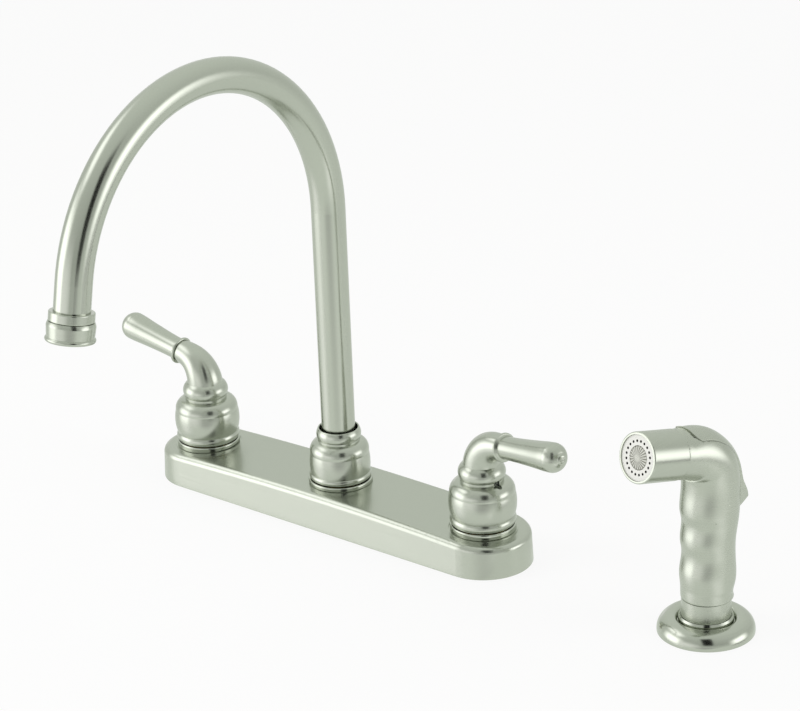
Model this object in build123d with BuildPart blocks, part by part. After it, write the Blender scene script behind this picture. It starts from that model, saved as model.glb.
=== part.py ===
from build123d import *
from math import cos, radians, sin, sqrt, tan
import os

os.makedirs("parts", exist_ok=True)

# Side spray kitchen faucet on an eight inch deck plate, in millimetres.
# The origin is on the sink deck under the spout's axis: +X to the cold side, -Y to the user, +Z up.

# Layout
CENTRES = 203.2  # between the two handle axes
HOT_TURN = 177.5  # where the closed hot lever points, seen from above
COLD_TURN = -11.0  # where the closed cold lever points
SPRAY_X = 246.5  # the sprayer's hole, from the spout's axis
SPRAY_TURN = -104.0  # where the resting spray head points
DECK_GAP = 6.0  # sink deck held between the pad and the washers

# Clearances
SNUG = 0.05  # round a piece fixed inside another
RUN = 0.06  # round a shaft that turns or slides
FREE = 0.3  # beside a piece that swings past
REST = 0.05  # under a face that turns or lifts off

# Deck plate and pad
PLATE_LENGTH = 258.0
PLATE_WIDTH = 53.6
PLATE_DRAFT = 2.5
PLATE_EDGE = 3.6
PLATE_WALL = 1.8
PLATE_HEIGHT = 21.15
CROWN_RADIUS = 2550.0
SEAT_HEIGHT = 19.0
SEAT_RADIUS = 19.2
PAD_THICKNESS = 2.5

# Valve bodies and their shanks
SHANK_RADIUS = 10.4
SHANK_LENGTH = 52.0
SHANK_BORE = 6.0
RELIEF_HIGH = 22.0  # the groove above the supply end, below the deck
RELIEF_LOW = 23.6
RELIEF_DEPTH = 0.8
BODY_FLANGE = 16.0
BODY_FLANGE_THICKNESS = 3.0
TOWER_RADIUS = 13.0
TOWER_TOP = 29.0
CHAMBER_RADIUS = 9.2
CHAMBER_FLOOR = 3.5
PORT_HEIGHT = 9.6
BOSS_RADIUS = 6.4
BOSS_REACH = 23.0
CROSS_RADIUS = 5.0
CROSS_BORE = 3.6
SOCKET_DEPTH = 5.0

# Cartridges
SEAL_RADIUS = 6.6
SEAL_HEIGHT = 2.2
DISC_RADIUS = 7.4
DISC_THICKNESS = 2.5
DISC_PORT = 2.0
BARREL_WALL = 0.8
BARREL_SHOULDER = 12.4
BARREL_SHOULDER_THICKNESS = 2.0
BARREL_NECK = 7.0
BARREL_NECK_HEIGHT = 6.0
STEM_RADIUS = 3.9
SPLINE_DEPTH = 0.45
SPLINES = 12
SPLINE_LENGTH = 8.0
DRIVER_THICKNESS = 2.3
NUT_RADIUS = 15.2
NUT_WEB = 2.6
NUT_NOTCHES = 6

# Base rings
RING_RADIUS = 18.3
RING_BORE = 14.5
RING_HEIGHT = 3.5
SPOUT_RING_HEIGHT = 2.5
RING_ROUND = 0.7

# Handles: bell, neck, collar and elbow
BELL_GAP = 0.6  # between a base ring and the bell above it
BELL_RADIUS = 18.9
FOOT_RADIUS = 18.4
BELL_WALL = 2.4
BELL_TOE = 17.6
BELL_SKIN = (  # radius and height: a middle and an end for each arc, an end alone for a line
    ((FOOT_RADIUS, 25.1), (17.9, 27.2)),
    ((17.7, 27.5),),
    ((BELL_RADIUS, 35.2), (18.15, 41.2)),
    ((16.8, 45.6), (12.1, 47.9)),
    ((12.1, 49.6),),
    ((13.1, 53.9), (10.0, 58.2)),
)
ELBOW_RADIUS = 16.0
ELBOW_START = 56.0
ELBOW_LEAD = 5.4
LEVER_PITCH = 9.6
ELBOW_SECTIONS = ((0, 10.4), (20, 10.0), (40, 9.2), (60, 8.2), (80.4, 7.3))  # angle, radius
ELBOW_END = 6.7
SPIGOT_RADIUS = 4.0
SPIGOT_LENGTH = 9.0
SCREW_RADIUS = 2.0
SCREW_LENGTH = 5.5
SCREW_HEIGHT = 48.8
HEX_FLATS = 2.0

# Levers
BEAD_RADIUS = 8.1
ROOT_RADIUS = 6.35
TIP_RADIUS = 8.1
LEVER_LENGTH = 46.6
BUTTON_RADIUS = 3.0

# Spout hub, bell and swivel
HUB_FLANGE = 17.0
HUB_TOWER = 14.2
HUB_TOP = 39.5
HUB_BORE = 11.0
HUB_FLOOR = 4.0
HUB_NECK = 9.0
HUB_NECK_LENGTH = 10.0
SPOUT_BELL_TOE = 17.0
SPOUT_BELL_SKIN = (
    ((17.7, 25.6), (17.3, 27.1)),
    ((17.0, 27.4),),
    ((17.3, 33.5), (16.7, 39.2)),
    ((15.8, 43.9), (12.0, 46.4)),
    ((12.0, 47.6),),
    ((12.7, 50.8), (11.8, 53.4)),
    ((11.5, 54.0), (11.1, 53.2)),
)
SLIP_THICKNESS = 1.5
SLEEVE_BOTTOM = 15.0
SLEEVE_SHOULDER = 13.4
SLEEVE_SHOULDER_THICKNESS = 1.9
O_RING_WIRE = 0.9
O_RING_HEIGHTS = (18.5, 23.0)

# Spout tube
TUBE_RADIUS = 9.525
TUBE_WALL = 1.0
TUBE_FOOT = 27.0
TUBE_RISE = 184.1
ARCH_RADIUS = 98.3
ARCH_SWEEP = 168.9
TUBE_TAIL = 18.0

# Outlet, measured along its axis from the end of the tube
OUTLET_RADIUS = 11.8
OUTLET_LAP = 3.5
OUTLET_BAND = 5.0
THREAD_RADIUS = 11.0
THREAD_LENGTH = 4.8
AERATOR_RADIUS = 12.6
AERATOR_LENGTH = 10.4
LIP_RADIUS = 12.95
LIP_HEIGHT = 2.0
AERATOR_BORE = 10.6
MOUTH_RADIUS = 9.6
WASHER_THICKNESS = 1.5
MESH_HOLE = 1.1

# Diverter and hose outlet
CAGE_FLANGE = 8.0
CAGE_THICKNESS = 1.5
CAGE_RADIUS = 5.9
CAGE_DEPTH = 3.0
POPPET_RADIUS = 6.4
POPPET_STEM = 2.0
POPPET_LIFT = 5.0
HOSE_THREAD = 6.6
NIPPLE_LENGTH = 42.0
NIPPLE_HEX = 5.0
NIPPLE_BORE = 3.4

# Fasteners under the deck
WASHER_RADIUS = 17.0
WASHER_HEIGHT = 1.5
NUT_WALL = 3.0
NUT_FLANGE = 2.5
NUT_HEIGHT = 11.0
WING_REACH = 21.0
WING_THICKNESS = 3.0

# Spray holder
HOLDER_RADIUS = 25.7
HOLDER_CREST = 8.5
HOLDER_CREST_RADIUS = 19.0
HOLDER_SEAT = 5.6
HOLDER_HOLE = 13.6
HOLDER_WALL = 1.8
CUP_RADIUS = 14.6
CUP_TOP = 9.4
CUP_FLOOR = 5.0
GUIDE_SHANK = 13.2
GUIDE_BORE = 11.6
GUIDE_LENGTH = 32.0

# Sprayer
CAP_RADIUS = 13.1
CAP_WALL = 1.6
CAP_FLOOR = 2.4
COUPLING_THREAD = 6.9
COUPLING_REACH = 10.8
COUPLING_FLATS = 18.0
COUPLING_HEX = 8.0
BARB_RADIUS = 4.5
BARB_LENGTH = 13.0
GRIP_FOOT = 19.4
GRIP_RADIUS = 14.3
BEND_RADIUS = 15.5
GRIP_SECTIONS = (  # height, radius, shift of the centre to the back
    (19.4, 14.0, 0.8), (28.0, 14.2, 0.9), (40.0, 14.35, 1.0),
    (55.0, 14.35, 1.1), (65.0, 15.0, 2.0), (78.0, 15.3, 2.3),
)
BEND_SECTIONS = ((0, 15.3, 2.0), (26, 15.1, 1.2), (52, 14.7, 0.2), (77.2, 14.0, 0.1))  # by angle
HEAD_CROSSING = 101.3  # height where the head's axis meets the grip's
HEAD_PITCH = 12.8
HEAD_RADIUS = 13.2
HEAD_SEAM = 25.1
HEAD_LENGTH = 48.8
GROOVES = (44.5, 62.0, 82.0)
GROOVE_SHIFT = 4.0  # the grooves' axis, behind the grip's
GROOVE_RADIUS = 15.2
GROOVE_DEPTH = 2.4
GROOVE_HALF_WIDTH = 7.0
FOOT_ROUND = 0.8
WATERWAY = 4.4
HEAD_SPIGOT = 9.0
SLEEVE_WALL = 1.3
FACE_LEDGE = 1.0
FACE_THICKNESS = 3.0
FACE_RECESS = 0.8
JETS = 20
JET_CIRCLE = 8.55
JET_RADIUS = 0.65
ROSE_RADIUS = 5.8
ROSE_MOAT = 0.5
ROSE_DEPTH = 1.8
ROSE_CROWN = 0.9
ROSE_STEM = 2.0
ROSE_RIBS = 22
ROSE_GAP = 0.45

# Sprayer's lever and valve, reaches taken from the grip's axis
TRIGGER_HALF_WIDTH = 9.9
TRIGGER_CHANNEL = 8.0  # half the hollow between the lever's side walls
TRIGGER_PRESS = 5.0
TRIGGER_UNDERSIDE = 10.6
TRIGGER_SKIRT = 8.2
TRIGGER_FRONT = 90.4
TRIGGER_CORNER = 5.0
TRIGGER_REACH = 48.3  # from the pin to the lower end
TRIGGER_THUMB = ((66.0, 21.0), (71.0, 22.4), (76.0, 23.1), (82.0, 20.6))  # height, reach
TRIGGER_BEND = (  # angle round the bend, reach
    (0, 18.7), (10, 17.8), (20, 17.0), (32, 16.0), (44, 15.2), (60, 14.6), (77.2, 14.05)
)
TRIGGER_TOP = ((18.0, 13.86), (25.1, 13.6))  # distance along the head, reach
TRIGGER_ROUND = 15.0
PIN_ANGLE = 77.2
PIN_REACH = 8.2
PIN_RADIUS = 1.1
PIN_HALF_LENGTH = 7.2
LUG_RADIUS = 2.4
LUG_RISE = 2.5
LUG_HALF_WIDTH = 4.0
VALVE_HEIGHT = 84.0
VALVE_CHAMBER = 5.0
VALVE_END = 5.0
VALVE_STEM = 2.0
VALVE_DISC_THICKNESS = 1.8
STEM_GAP = 0.2
BONNET_FACE = -7.2
BONNET_THICKNESS = 3.2

COLD_X = CENTRES / 2
SETS = {"hot": (-COLD_X, HOT_TURN), "cold": (COLD_X, COLD_TURN)}


def standing(x, turn):
    """The plane of the deck at one axis, its X turned from the row's."""
    ahead = Vector(cos(radians(turn)), sin(radians(turn)), 0)
    return Plane(origin=(x, 0, 0), x_dir=ahead, z_dir=(0, 0, 1))


def upright(base):
    """The plane that holds the base's axis, with the base's X across and its Z up."""
    return Plane(origin=base.origin, x_dir=base.x_dir, z_dir=-base.y_dir)


def aimed(base, reach, height, pitch):
    """A plane facing along the base's X, tipped up by the pitch."""
    facing = base.x_dir * cos(radians(pitch)) + base.z_dir * sin(radians(pitch))
    return Plane(origin=base.from_local_coords((reach, 0, height)), x_dir=base.y_dir, z_dir=facing)


def axis_of(base):
    return Axis(base.origin, base.z_dir)


def drum(base, radius, low, high, bore=0.0, mode=Mode.ADD):
    """Adds or cuts a round block, or a ring, between two heights on the base's axis."""
    with BuildSketch(base.offset(low)) as section:
        Circle(radius)
        if bore:
            Circle(bore, mode=Mode.SUBTRACT)
    extrude(section.sketch, amount=high - low, mode=mode)


def turned(base, points, mode=Mode.ADD):
    """Adds or cuts a straight-sided outline of radius and height turned about the base's axis."""
    with BuildSketch(upright(base)) as section:
        with BuildLine():
            Polyline(*points, close=True)
        make_face()
    revolve(section.sketch, axis_of(base), mode=mode)


def skin_line(start, steps):
    """Draws a chain of arcs and straight lines and returns the point it ends on."""
    for step in steps:
        if len(step) == 2:
            ThreePointArc(start, *step)
        else:
            Line(start, step[0])
        start = step[-1]
    return start


def finish(part, label):
    part.label = label
    export_step(part, f"parts/{label}.step")


# ---------- deck plate, pad and rings ----------


def plate_block(inset, floor):
    """A round-ended block under the crowned top, inset all round."""
    half = PLATE_LENGTH / 2
    top = PLATE_HEIGHT - inset
    drop = CROWN_RADIUS - sqrt(CROWN_RADIUS**2 - half**2)
    with BuildPart() as block:
        with BuildSketch(Plane.XY.offset(floor)):
            SlotOverall(PLATE_LENGTH - 2 * inset, PLATE_WIDTH - 2 * inset)
        extrude(amount=PLATE_HEIGHT - floor + 1, taper=PLATE_DRAFT)
        with BuildSketch(Plane.XZ):
            with BuildLine():
                ThreePointArc((-half, top - drop), (0, top), (half, top - drop))
                Polyline((half, top - drop), (half, floor), (-half, floor), (-half, top - drop))
            make_face()
        extrude(amount=PLATE_WIDTH, both=True, mode=Mode.INTERSECT)
    return block.part


SPOUT_SEAT = PLATE_HEIGHT - 0.1
RING_SEATS = ((-COLD_X, SEAT_HEIGHT), (0, SPOUT_SEAT), (COLD_X, SEAT_HEIGHT))

with BuildPart() as deck_plate:
    add(plate_block(0, 0))
    fillet(deck_plate.faces().sort_by(Axis.Z)[-1].edges(), PLATE_EDGE)
    add(plate_block(PLATE_WALL, -1), mode=Mode.SUBTRACT)
    for x, height in RING_SEATS:
        seat = standing(x, 0)
        drum(seat, SEAT_RADIUS, height - PLATE_WALL, height)
        drum(seat, SEAT_RADIUS, height, PLATE_HEIGHT + 1, mode=Mode.SUBTRACT)
        hole = HUB_TOWER if x == 0 else TOWER_RADIUS
        drum(seat, hole + FREE, 0, PLATE_HEIGHT, mode=Mode.SUBTRACT)
finish(deck_plate.part, "deck_plate")

with BuildPart() as base_pad:
    with BuildSketch():
        inset = PLATE_WALL + FREE
        SlotOverall(PLATE_LENGTH - 2 * inset, PLATE_WIDTH - 2 * inset)
        with Locations((-COLD_X, 0), (COLD_X, 0)):
            Circle(SHANK_RADIUS + SNUG, mode=Mode.SUBTRACT)
        Circle(HUB_NECK + SNUG, mode=Mode.SUBTRACT)
    extrude(amount=PAD_THICKNESS)
finish(base_pad.part, "base_pad")


def base_ring(base, low, height):
    """A polished ring with its upper edge rounded, standing on the plate's seat."""
    with BuildPart() as ring:
        drum(base, RING_RADIUS, low, low + height, RING_BORE)
        outer = ring.edges().filter_by(GeomType.CIRCLE).group_by(SortBy.RADIUS)[-1]
        fillet(outer, RING_ROUND)
    return ring.part


finish(base_ring(Plane.XY, SPOUT_SEAT, SPOUT_RING_HEIGHT), "spout_base_ring")


# ---------- hot and cold valves ----------

BODY_TOP = PAD_THICKNESS + BODY_FLANGE_THICKNESS
DISC_LOW = CHAMBER_FLOOR + SEAL_HEIGHT
DISC_HIGH = DISC_LOW + DISC_THICKNESS
DRIVER_LOW = DISC_HIGH + REST + DISC_THICKNESS
DRIVER_TOP = DRIVER_LOW + DRIVER_THICKNESS
BARREL_FLOOR = CHAMBER_FLOOR + 0.5
BARREL_BORE = DISC_RADIUS + 0.2
NUT_SEAT = TOWER_TOP + BARREL_SHOULDER_THICKNESS
SIDE_RING_TOP = SEAT_HEIGHT + RING_HEIGHT
BELL_FOOT = SIDE_RING_TOP + BELL_GAP
CAVITY_TOP = 43.5
SOCKET_TOP = 52.5
STEM_TOP = SOCKET_TOP - FREE


def elbow_at(base, angle):
    """The elbow's cross-section plane at an angle along its bend."""
    reach = ELBOW_RADIUS * (1 - cos(radians(angle)))
    height = ELBOW_START + ELBOW_RADIUS * sin(radians(angle))
    return aimed(base, reach, height, 90 - angle)


def disc_ports():
    """Two round ways through a ceramic disc."""
    with PolarLocations(DISC_RADIUS / 2, 2):
        Circle(DISC_PORT, mode=Mode.SUBTRACT)


for side, (x, turn) in SETS.items():
    base = standing(x, turn)
    inward = standing(x, 0 if x < 0 else 180)
    port = aimed(inward, 0, PORT_HEIGHT, 0)

    with BuildPart() as valve_body:
        drum(base, SHANK_RADIUS, -SHANK_LENGTH, PAD_THICKNESS)
        drum(base, BODY_FLANGE, PAD_THICKNESS, BODY_TOP)
        drum(base, TOWER_RADIUS, BODY_TOP, TOWER_TOP)
        drum(port, BOSS_RADIUS, 0, BOSS_REACH)
        drum(base, CHAMBER_RADIUS, CHAMBER_FLOOR, TOWER_TOP, mode=Mode.SUBTRACT)
        drum(base, SHANK_BORE, -SHANK_LENGTH, CHAMBER_FLOOR, mode=Mode.SUBTRACT)
        root = SHANK_RADIUS - RELIEF_DEPTH
        drum(base, SHANK_RADIUS + 1, -RELIEF_LOW, -RELIEF_HIGH, root, Mode.SUBTRACT)
        drum(port, CROSS_BORE, 0, BOSS_REACH, mode=Mode.SUBTRACT)
        drum(port, CROSS_RADIUS + SNUG, BOSS_REACH - SOCKET_DEPTH, BOSS_REACH, mode=Mode.SUBTRACT)
        end = valve_body.edges().group_by(Axis.Z)[0]
        chamfer(end, 0.8)
    finish(valve_body.part, f"{side}_valve_body")

    with BuildPart() as crossover_tube:
        start = BOSS_REACH - SOCKET_DEPTH
        drum(port, CROSS_RADIUS, start, COLD_X - start, CROSS_BORE)
    finish(crossover_tube.part, f"{side}_crossover_tube")

    with BuildPart() as seat_seal:
        drum(base, SEAL_RADIUS, CHAMBER_FLOOR, DISC_LOW, DISC_RADIUS / 2 + 1)
    finish(seat_seal.part, f"{side}_seat_seal")

    with BuildPart() as fixed_disc:
        with BuildSketch(base.offset(DISC_LOW)):
            Circle(DISC_RADIUS)
            disc_ports()
        extrude(amount=DISC_THICKNESS)
    finish(fixed_disc.part, f"{side}_fixed_disc")

    with BuildPart() as moving_disc:
        with BuildSketch(base.offset(DISC_HIGH + REST)):
            Circle(DISC_RADIUS)
            disc_ports()
        extrude(amount=DISC_THICKNESS)
        with BuildSketch(base.offset(DRIVER_LOW)):
            Rectangle(2 * DISC_PORT, DISC_RADIUS)
        extrude(amount=-DISC_THICKNESS / 2, mode=Mode.SUBTRACT)
    finish(moving_disc.part, f"{side}_moving_disc")

    with BuildPart() as cartridge:
        skirt = BARREL_BORE + BARREL_WALL
        drum(base, skirt, BARREL_FLOOR, DRIVER_TOP + RUN)
        drum(base, CHAMBER_RADIUS - SNUG, DRIVER_TOP + RUN, TOWER_TOP)
        drum(base, BARREL_SHOULDER, TOWER_TOP, NUT_SEAT)
        drum(base, BARREL_NECK, NUT_SEAT, NUT_SEAT + BARREL_NECK_HEIGHT)
        drum(base, BARREL_BORE, BARREL_FLOOR, DRIVER_TOP + RUN, mode=Mode.SUBTRACT)
        drum(base, STEM_RADIUS + RUN, 0, STEM_TOP, mode=Mode.SUBTRACT)
        with BuildSketch(upright(base)):
            with Locations((0, DRIVER_LOW - DISC_THICKNESS / 2)):
                SlotOverall(2 * BARREL_NECK * 0.7, DISC_THICKNESS)
        extrude(amount=skirt, both=True, mode=Mode.SUBTRACT)
    finish(cartridge.part, f"{side}_cartridge")

    with BuildPart() as valve_stem:
        drum(base, DISC_RADIUS - 0.2, DRIVER_LOW, DRIVER_TOP)
        drum(base, STEM_RADIUS, DRIVER_TOP, STEM_TOP)
        with BuildSketch(base.offset(DRIVER_LOW)):
            Rectangle(2 * DISC_PORT - 2 * SNUG, DISC_RADIUS - 2 * SNUG)
        extrude(amount=-DISC_THICKNESS / 2 + SNUG)
        with BuildSketch(base.offset(STEM_TOP - SPLINE_LENGTH)):
            with PolarLocations(STEM_RADIUS, SPLINES):
                Rectangle(2 * SPLINE_DEPTH, SPLINE_DEPTH * 2, rotation=45)
        extrude(amount=SPLINE_LENGTH, mode=Mode.SUBTRACT)
    finish(valve_stem.part, f"{side}_stem")

    with BuildPart() as bonnet_nut:
        drum(base, NUT_RADIUS, SIDE_RING_TOP, NUT_SEAT + NUT_WEB)
        drum(base, TOWER_RADIUS + SNUG, SIDE_RING_TOP, NUT_SEAT, mode=Mode.SUBTRACT)
        drum(base, BARREL_NECK + 0.2, NUT_SEAT, NUT_SEAT + NUT_WEB, mode=Mode.SUBTRACT)
        with BuildSketch(base.offset(NUT_SEAT)):
            with PolarLocations(NUT_RADIUS, NUT_NOTCHES):
                Rectangle(2.4, 3.0)
        extrude(amount=NUT_WEB, mode=Mode.SUBTRACT)
    finish(bonnet_nut.part, f"{side}_bonnet_nut")

    finish(base_ring(base, SEAT_HEIGHT, RING_HEIGHT), f"{side}_base_ring")

    lever_root = elbow_at(base, 90 - LEVER_PITCH).offset(ELBOW_LEAD)
    screw_line = aimed(base, 0, SCREW_HEIGHT, 0)

    with BuildPart() as handle:
        with BuildSketch(upright(base)):
            with BuildLine():
                toe = (BELL_TOE, BELL_FOOT)
                top = skin_line(toe, BELL_SKIN)
                Polyline(top, (0, top[1]), (0, BELL_FOOT), toe)
            make_face()
        revolve(axis=axis_of(base))
        for angle, radius in ELBOW_SECTIONS:
            with BuildSketch(elbow_at(base, angle)):
                Circle(radius)
        with BuildSketch(lever_root):
            Circle(ELBOW_END)
        loft()
        drum(lever_root, SPIGOT_RADIUS, -1, SPIGOT_LENGTH)
        inner = BELL_RADIUS - BELL_WALL
        cavity = ((0, 0), (FOOT_RADIUS - BELL_WALL, 0), (FOOT_RADIUS - BELL_WALL, 30), (inner, 33),
                  (inner, 38), (inner - 1.2, 41), (inner - 4.5, CAVITY_TOP), (0, CAVITY_TOP))
        turned(base, cavity, mode=Mode.SUBTRACT)
        drum(base, STEM_RADIUS + SNUG, CAVITY_TOP - 1, SOCKET_TOP, mode=Mode.SUBTRACT)
        drum(screw_line, SCREW_RADIUS + SNUG, 0, BELL_RADIUS, mode=Mode.SUBTRACT)
    finish(handle.part, f"{side}_handle")

    with BuildPart() as handle_screw:
        start = STEM_RADIUS + SNUG
        drum(screw_line, SCREW_RADIUS, start, start + SCREW_LENGTH)
        with BuildSketch(screw_line.offset(start + SCREW_LENGTH)):
            RegularPolygon(HEX_FLATS / 2, 6, major_radius=False)
        extrude(amount=-SCREW_LENGTH / 2, mode=Mode.SUBTRACT)
    finish(handle_screw.part, f"{side}_handle_screw")

    with BuildPart() as lever:
        with BuildSketch(upright(lever_root)):
            with BuildLine():
                bead = ThreePointArc(
                    (BEAD_RADIUS - 0.8, -0.9), (BEAD_RADIUS, 0), (BEAD_RADIUS - 0.8, 0.9)
                )
                step = Line(bead @ 1, (ROOT_RADIUS, 1.6))
                flare = Spline(step @ 1, (6.5, 10), (7.0, 20), (7.7, 30.5), (TIP_RADIUS, 38),
                               tangents=((0, 1), (0, 1)))
                dome = ThreePointArc(flare @ 1, (7.2, 42.2), (BUTTON_RADIUS + 0.4, LEVER_LENGTH - 1.3))
                button = ThreePointArc(
                    (BUTTON_RADIUS, LEVER_LENGTH - 1.1), (2.5, LEVER_LENGTH - 0.4), (1.4, LEVER_LENGTH)
                )
                Line(dome @ 1, button @ 0)
                Polyline(button @ 1, (0, LEVER_LENGTH), (0, SPIGOT_LENGTH + FREE),
                         (SPIGOT_RADIUS + SNUG, SPIGOT_LENGTH + FREE), (SPIGOT_RADIUS + SNUG, SNUG),
                         (ELBOW_END + 0.35, SNUG), (ELBOW_END + 0.35, -0.9), bead @ 0)
            make_face()
        revolve(axis=axis_of(lever_root))
    finish(lever.part, f"{side}_lever")


# ---------- spout hub and diverter ----------

with BuildPart() as spout_hub:
    drum(Plane.XY, HUB_NECK, -HUB_NECK_LENGTH, PAD_THICKNESS)
    drum(Plane.XY, HUB_FLANGE, PAD_THICKNESS, BODY_TOP)
    drum(Plane.XY, HUB_TOWER, BODY_TOP, HUB_TOP)
    for turn in (0, 180):
        drum(aimed(standing(0, turn), 0, PORT_HEIGHT, 0), BOSS_RADIUS, 0, BOSS_REACH)
    drum(Plane.XY, HUB_BORE, HUB_FLOOR, HUB_TOP, mode=Mode.SUBTRACT)
    drum(Plane.XY, CAGE_RADIUS + SNUG, -HUB_NECK_LENGTH, HUB_FLOOR, mode=Mode.SUBTRACT)
    for turn in (0, 180):
        port = aimed(standing(0, turn), 0, PORT_HEIGHT, 0)
        drum(port, CROSS_BORE, 0, BOSS_REACH, mode=Mode.SUBTRACT)
        drum(port, CROSS_RADIUS + SNUG, BOSS_REACH - SOCKET_DEPTH, BOSS_REACH, mode=Mode.SUBTRACT)
finish(spout_hub.part, "spout_hub")

with BuildPart() as hose_nipple:
    collar_top = -HUB_NECK_LENGTH
    drum(Plane.XY, CAGE_RADIUS, collar_top, collar_top + NIPPLE_HEX)
    with BuildSketch(Plane.XY.offset(collar_top)):
        RegularPolygon(HUB_NECK, 6, major_radius=False)
    extrude(amount=-NIPPLE_HEX)
    drum(Plane.XY, HOSE_THREAD, -NIPPLE_LENGTH, collar_top - NIPPLE_HEX)
    drum(Plane.XY, NIPPLE_BORE, -NIPPLE_LENGTH, collar_top + NIPPLE_HEX, mode=Mode.SUBTRACT)
    end = hose_nipple.edges().group_by(Axis.Z)[0].filter_by(GeomType.CIRCLE)
    chamfer(end.sort_by(SortBy.RADIUS)[-1], 0.8)
finish(hose_nipple.part, "hose_nipple")

CAGE_TOP = HUB_FLOOR + CAGE_THICKNESS
POPPET_HEAD = CAGE_TOP + POPPET_LIFT

with BuildPart() as diverter_cage:
    drum(Plane.XY, CAGE_RADIUS, -CAGE_DEPTH, HUB_FLOOR)
    drum(Plane.XY, CAGE_FLANGE, HUB_FLOOR, CAGE_TOP)
    drum(Plane.XY, POPPET_STEM + RUN, -CAGE_DEPTH, CAGE_TOP, mode=Mode.SUBTRACT)
    with BuildSketch(Plane.XY.offset(-CAGE_DEPTH)):
        with PolarLocations(4.0, 4):
            Circle(1.1)
    extrude(amount=CAGE_TOP + CAGE_DEPTH, mode=Mode.SUBTRACT)
finish(diverter_cage.part, "diverter_cage")

with BuildPart() as diverter_poppet:
    drum(Plane.XY, POPPET_STEM, -2.5, POPPET_HEAD)
    drum(Plane.XY, POPPET_RADIUS, POPPET_HEAD, POPPET_HEAD + 2)
finish(diverter_poppet.part, "diverter_poppet")


def coil(base, low, high, radius, wire, turns):
    """A spring of square wire between two heights on the base's axis."""
    reach = high - low - wire
    with BuildPart() as spring:
        with BuildLine() as route:
            start = base.offset(low + wire / 2)
            Helix(reach / turns, reach, radius, center=start.origin, direction=base.z_dir)
        line = route.wires()[0]
        with BuildSketch(Plane(origin=line @ 0, z_dir=line % 0)):
            Rectangle(wire, wire)
        sweep(path=line, is_frenet=True)
    return spring.part


finish(coil(Plane.XY, CAGE_TOP, POPPET_HEAD, 3.1, 0.5, 3), "diverter_spring")

# ---------- spout ----------

SLEEVE_SEAT = HUB_TOP + REST
SLIP_SEAT = SLEEVE_SEAT + SLEEVE_SHOULDER_THICKNESS
SLIP_TOP = SLIP_SEAT + REST + SLIP_THICKNESS
BELL_BASE = SPOUT_SEAT + SPOUT_RING_HEIGHT + 0.5

with BuildPart() as spout_bell:
    with BuildSketch(Plane.XZ):
        with BuildLine():
            toe = (SPOUT_BELL_TOE, BELL_BASE)
            brim = skin_line(toe, SPOUT_BELL_SKIN)
            Polyline(brim, (brim[0], SLIP_TOP), (HUB_TOWER + 0.2, SLIP_TOP), (HUB_TOWER + 0.2, 33),
                     (HUB_TOWER + SNUG, 32.5), (HUB_TOWER + SNUG, BELL_BASE), toe)
        make_face()
    revolve(axis=Axis.Z)
finish(spout_bell.part, "spout_bell")

with BuildPart() as spout_slip_ring:
    drum(Plane.XY, HUB_TOWER - 0.4, SLIP_SEAT + REST, SLIP_TOP, TUBE_RADIUS + FREE)
finish(spout_slip_ring.part, "spout_slip_ring")

with BuildPart() as spout_sleeve:
    drum(Plane.XY, HUB_BORE - RUN, SLEEVE_BOTTOM, SLEEVE_SEAT)
    drum(Plane.XY, SLEEVE_SHOULDER, SLEEVE_SEAT, SLIP_SEAT)
    drum(Plane.XY, TUBE_RADIUS - TUBE_WALL, SLEEVE_BOTTOM, TUBE_FOOT, mode=Mode.SUBTRACT)
    drum(Plane.XY, TUBE_RADIUS + SNUG, TUBE_FOOT, SLIP_SEAT, mode=Mode.SUBTRACT)
    for height in O_RING_HEIGHTS:
        low, high = height - O_RING_WIRE - 0.1, height + O_RING_WIRE + 0.1
        drum(Plane.XY, HUB_BORE, low, high, HUB_BORE - 2 * O_RING_WIRE - 0.1, mode=Mode.SUBTRACT)
finish(spout_sleeve.part, "spout_sleeve")

with BuildPart() as spout_o_rings:
    with BuildSketch(Plane.XZ):
        with Locations(*[(HUB_BORE - O_RING_WIRE - 0.04, height) for height in O_RING_HEIGHTS]):
            Circle(O_RING_WIRE)
    revolve(axis=Axis.Z)
finish(spout_o_rings.part, "spout_o_rings")

SPOUT_PLANE = Plane(origin=(0, 0, 0), x_dir=(0, -1, 0), z_dir=(-1, 0, 0))

with BuildPart() as spout_tube:
    with BuildLine(SPOUT_PLANE) as route:
        rise = Line((0, TUBE_FOOT), (0, TUBE_RISE))
        arch = JernArc(rise @ 1, rise % 1, ARCH_RADIUS, -ARCH_SWEEP)
        tail = Line(arch @ 1, arch @ 1 + (arch % 1) * TUBE_TAIL)
    with BuildSketch(Plane.XY.offset(TUBE_FOOT)):
        Circle(TUBE_RADIUS)
        Circle(TUBE_RADIUS - TUBE_WALL, mode=Mode.SUBTRACT)
    sweep(path=route.wires()[0])
finish(spout_tube.part, "spout_tube")

outlet = Plane(origin=tail @ 1, x_dir=(1, 0, 0), z_dir=tail % 1)
BAND_END = -OUTLET_LAP + OUTLET_BAND
THREAD_END = BAND_END + THREAD_LENGTH
AERATOR_END = BAND_END + AERATOR_LENGTH

with BuildPart() as spout_collar:
    drum(outlet, OUTLET_RADIUS, -OUTLET_LAP, BAND_END)
    rim = spout_collar.edges().filter_by(GeomType.CIRCLE)
    fillet(rim, 0.6)
    drum(outlet, THREAD_RADIUS, BAND_END, THREAD_END)
    drum(outlet, TUBE_RADIUS - TUBE_WALL, -OUTLET_LAP, THREAD_END, mode=Mode.SUBTRACT)
    drum(outlet, TUBE_RADIUS + SNUG, -OUTLET_LAP, 0, mode=Mode.SUBTRACT)
finish(spout_collar.part, "spout_collar")

WASHER_LOW = THREAD_END
INSERT_LOW = WASHER_LOW + WASHER_THICKNESS
INSERT_END = AERATOR_END - 1.4

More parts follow.
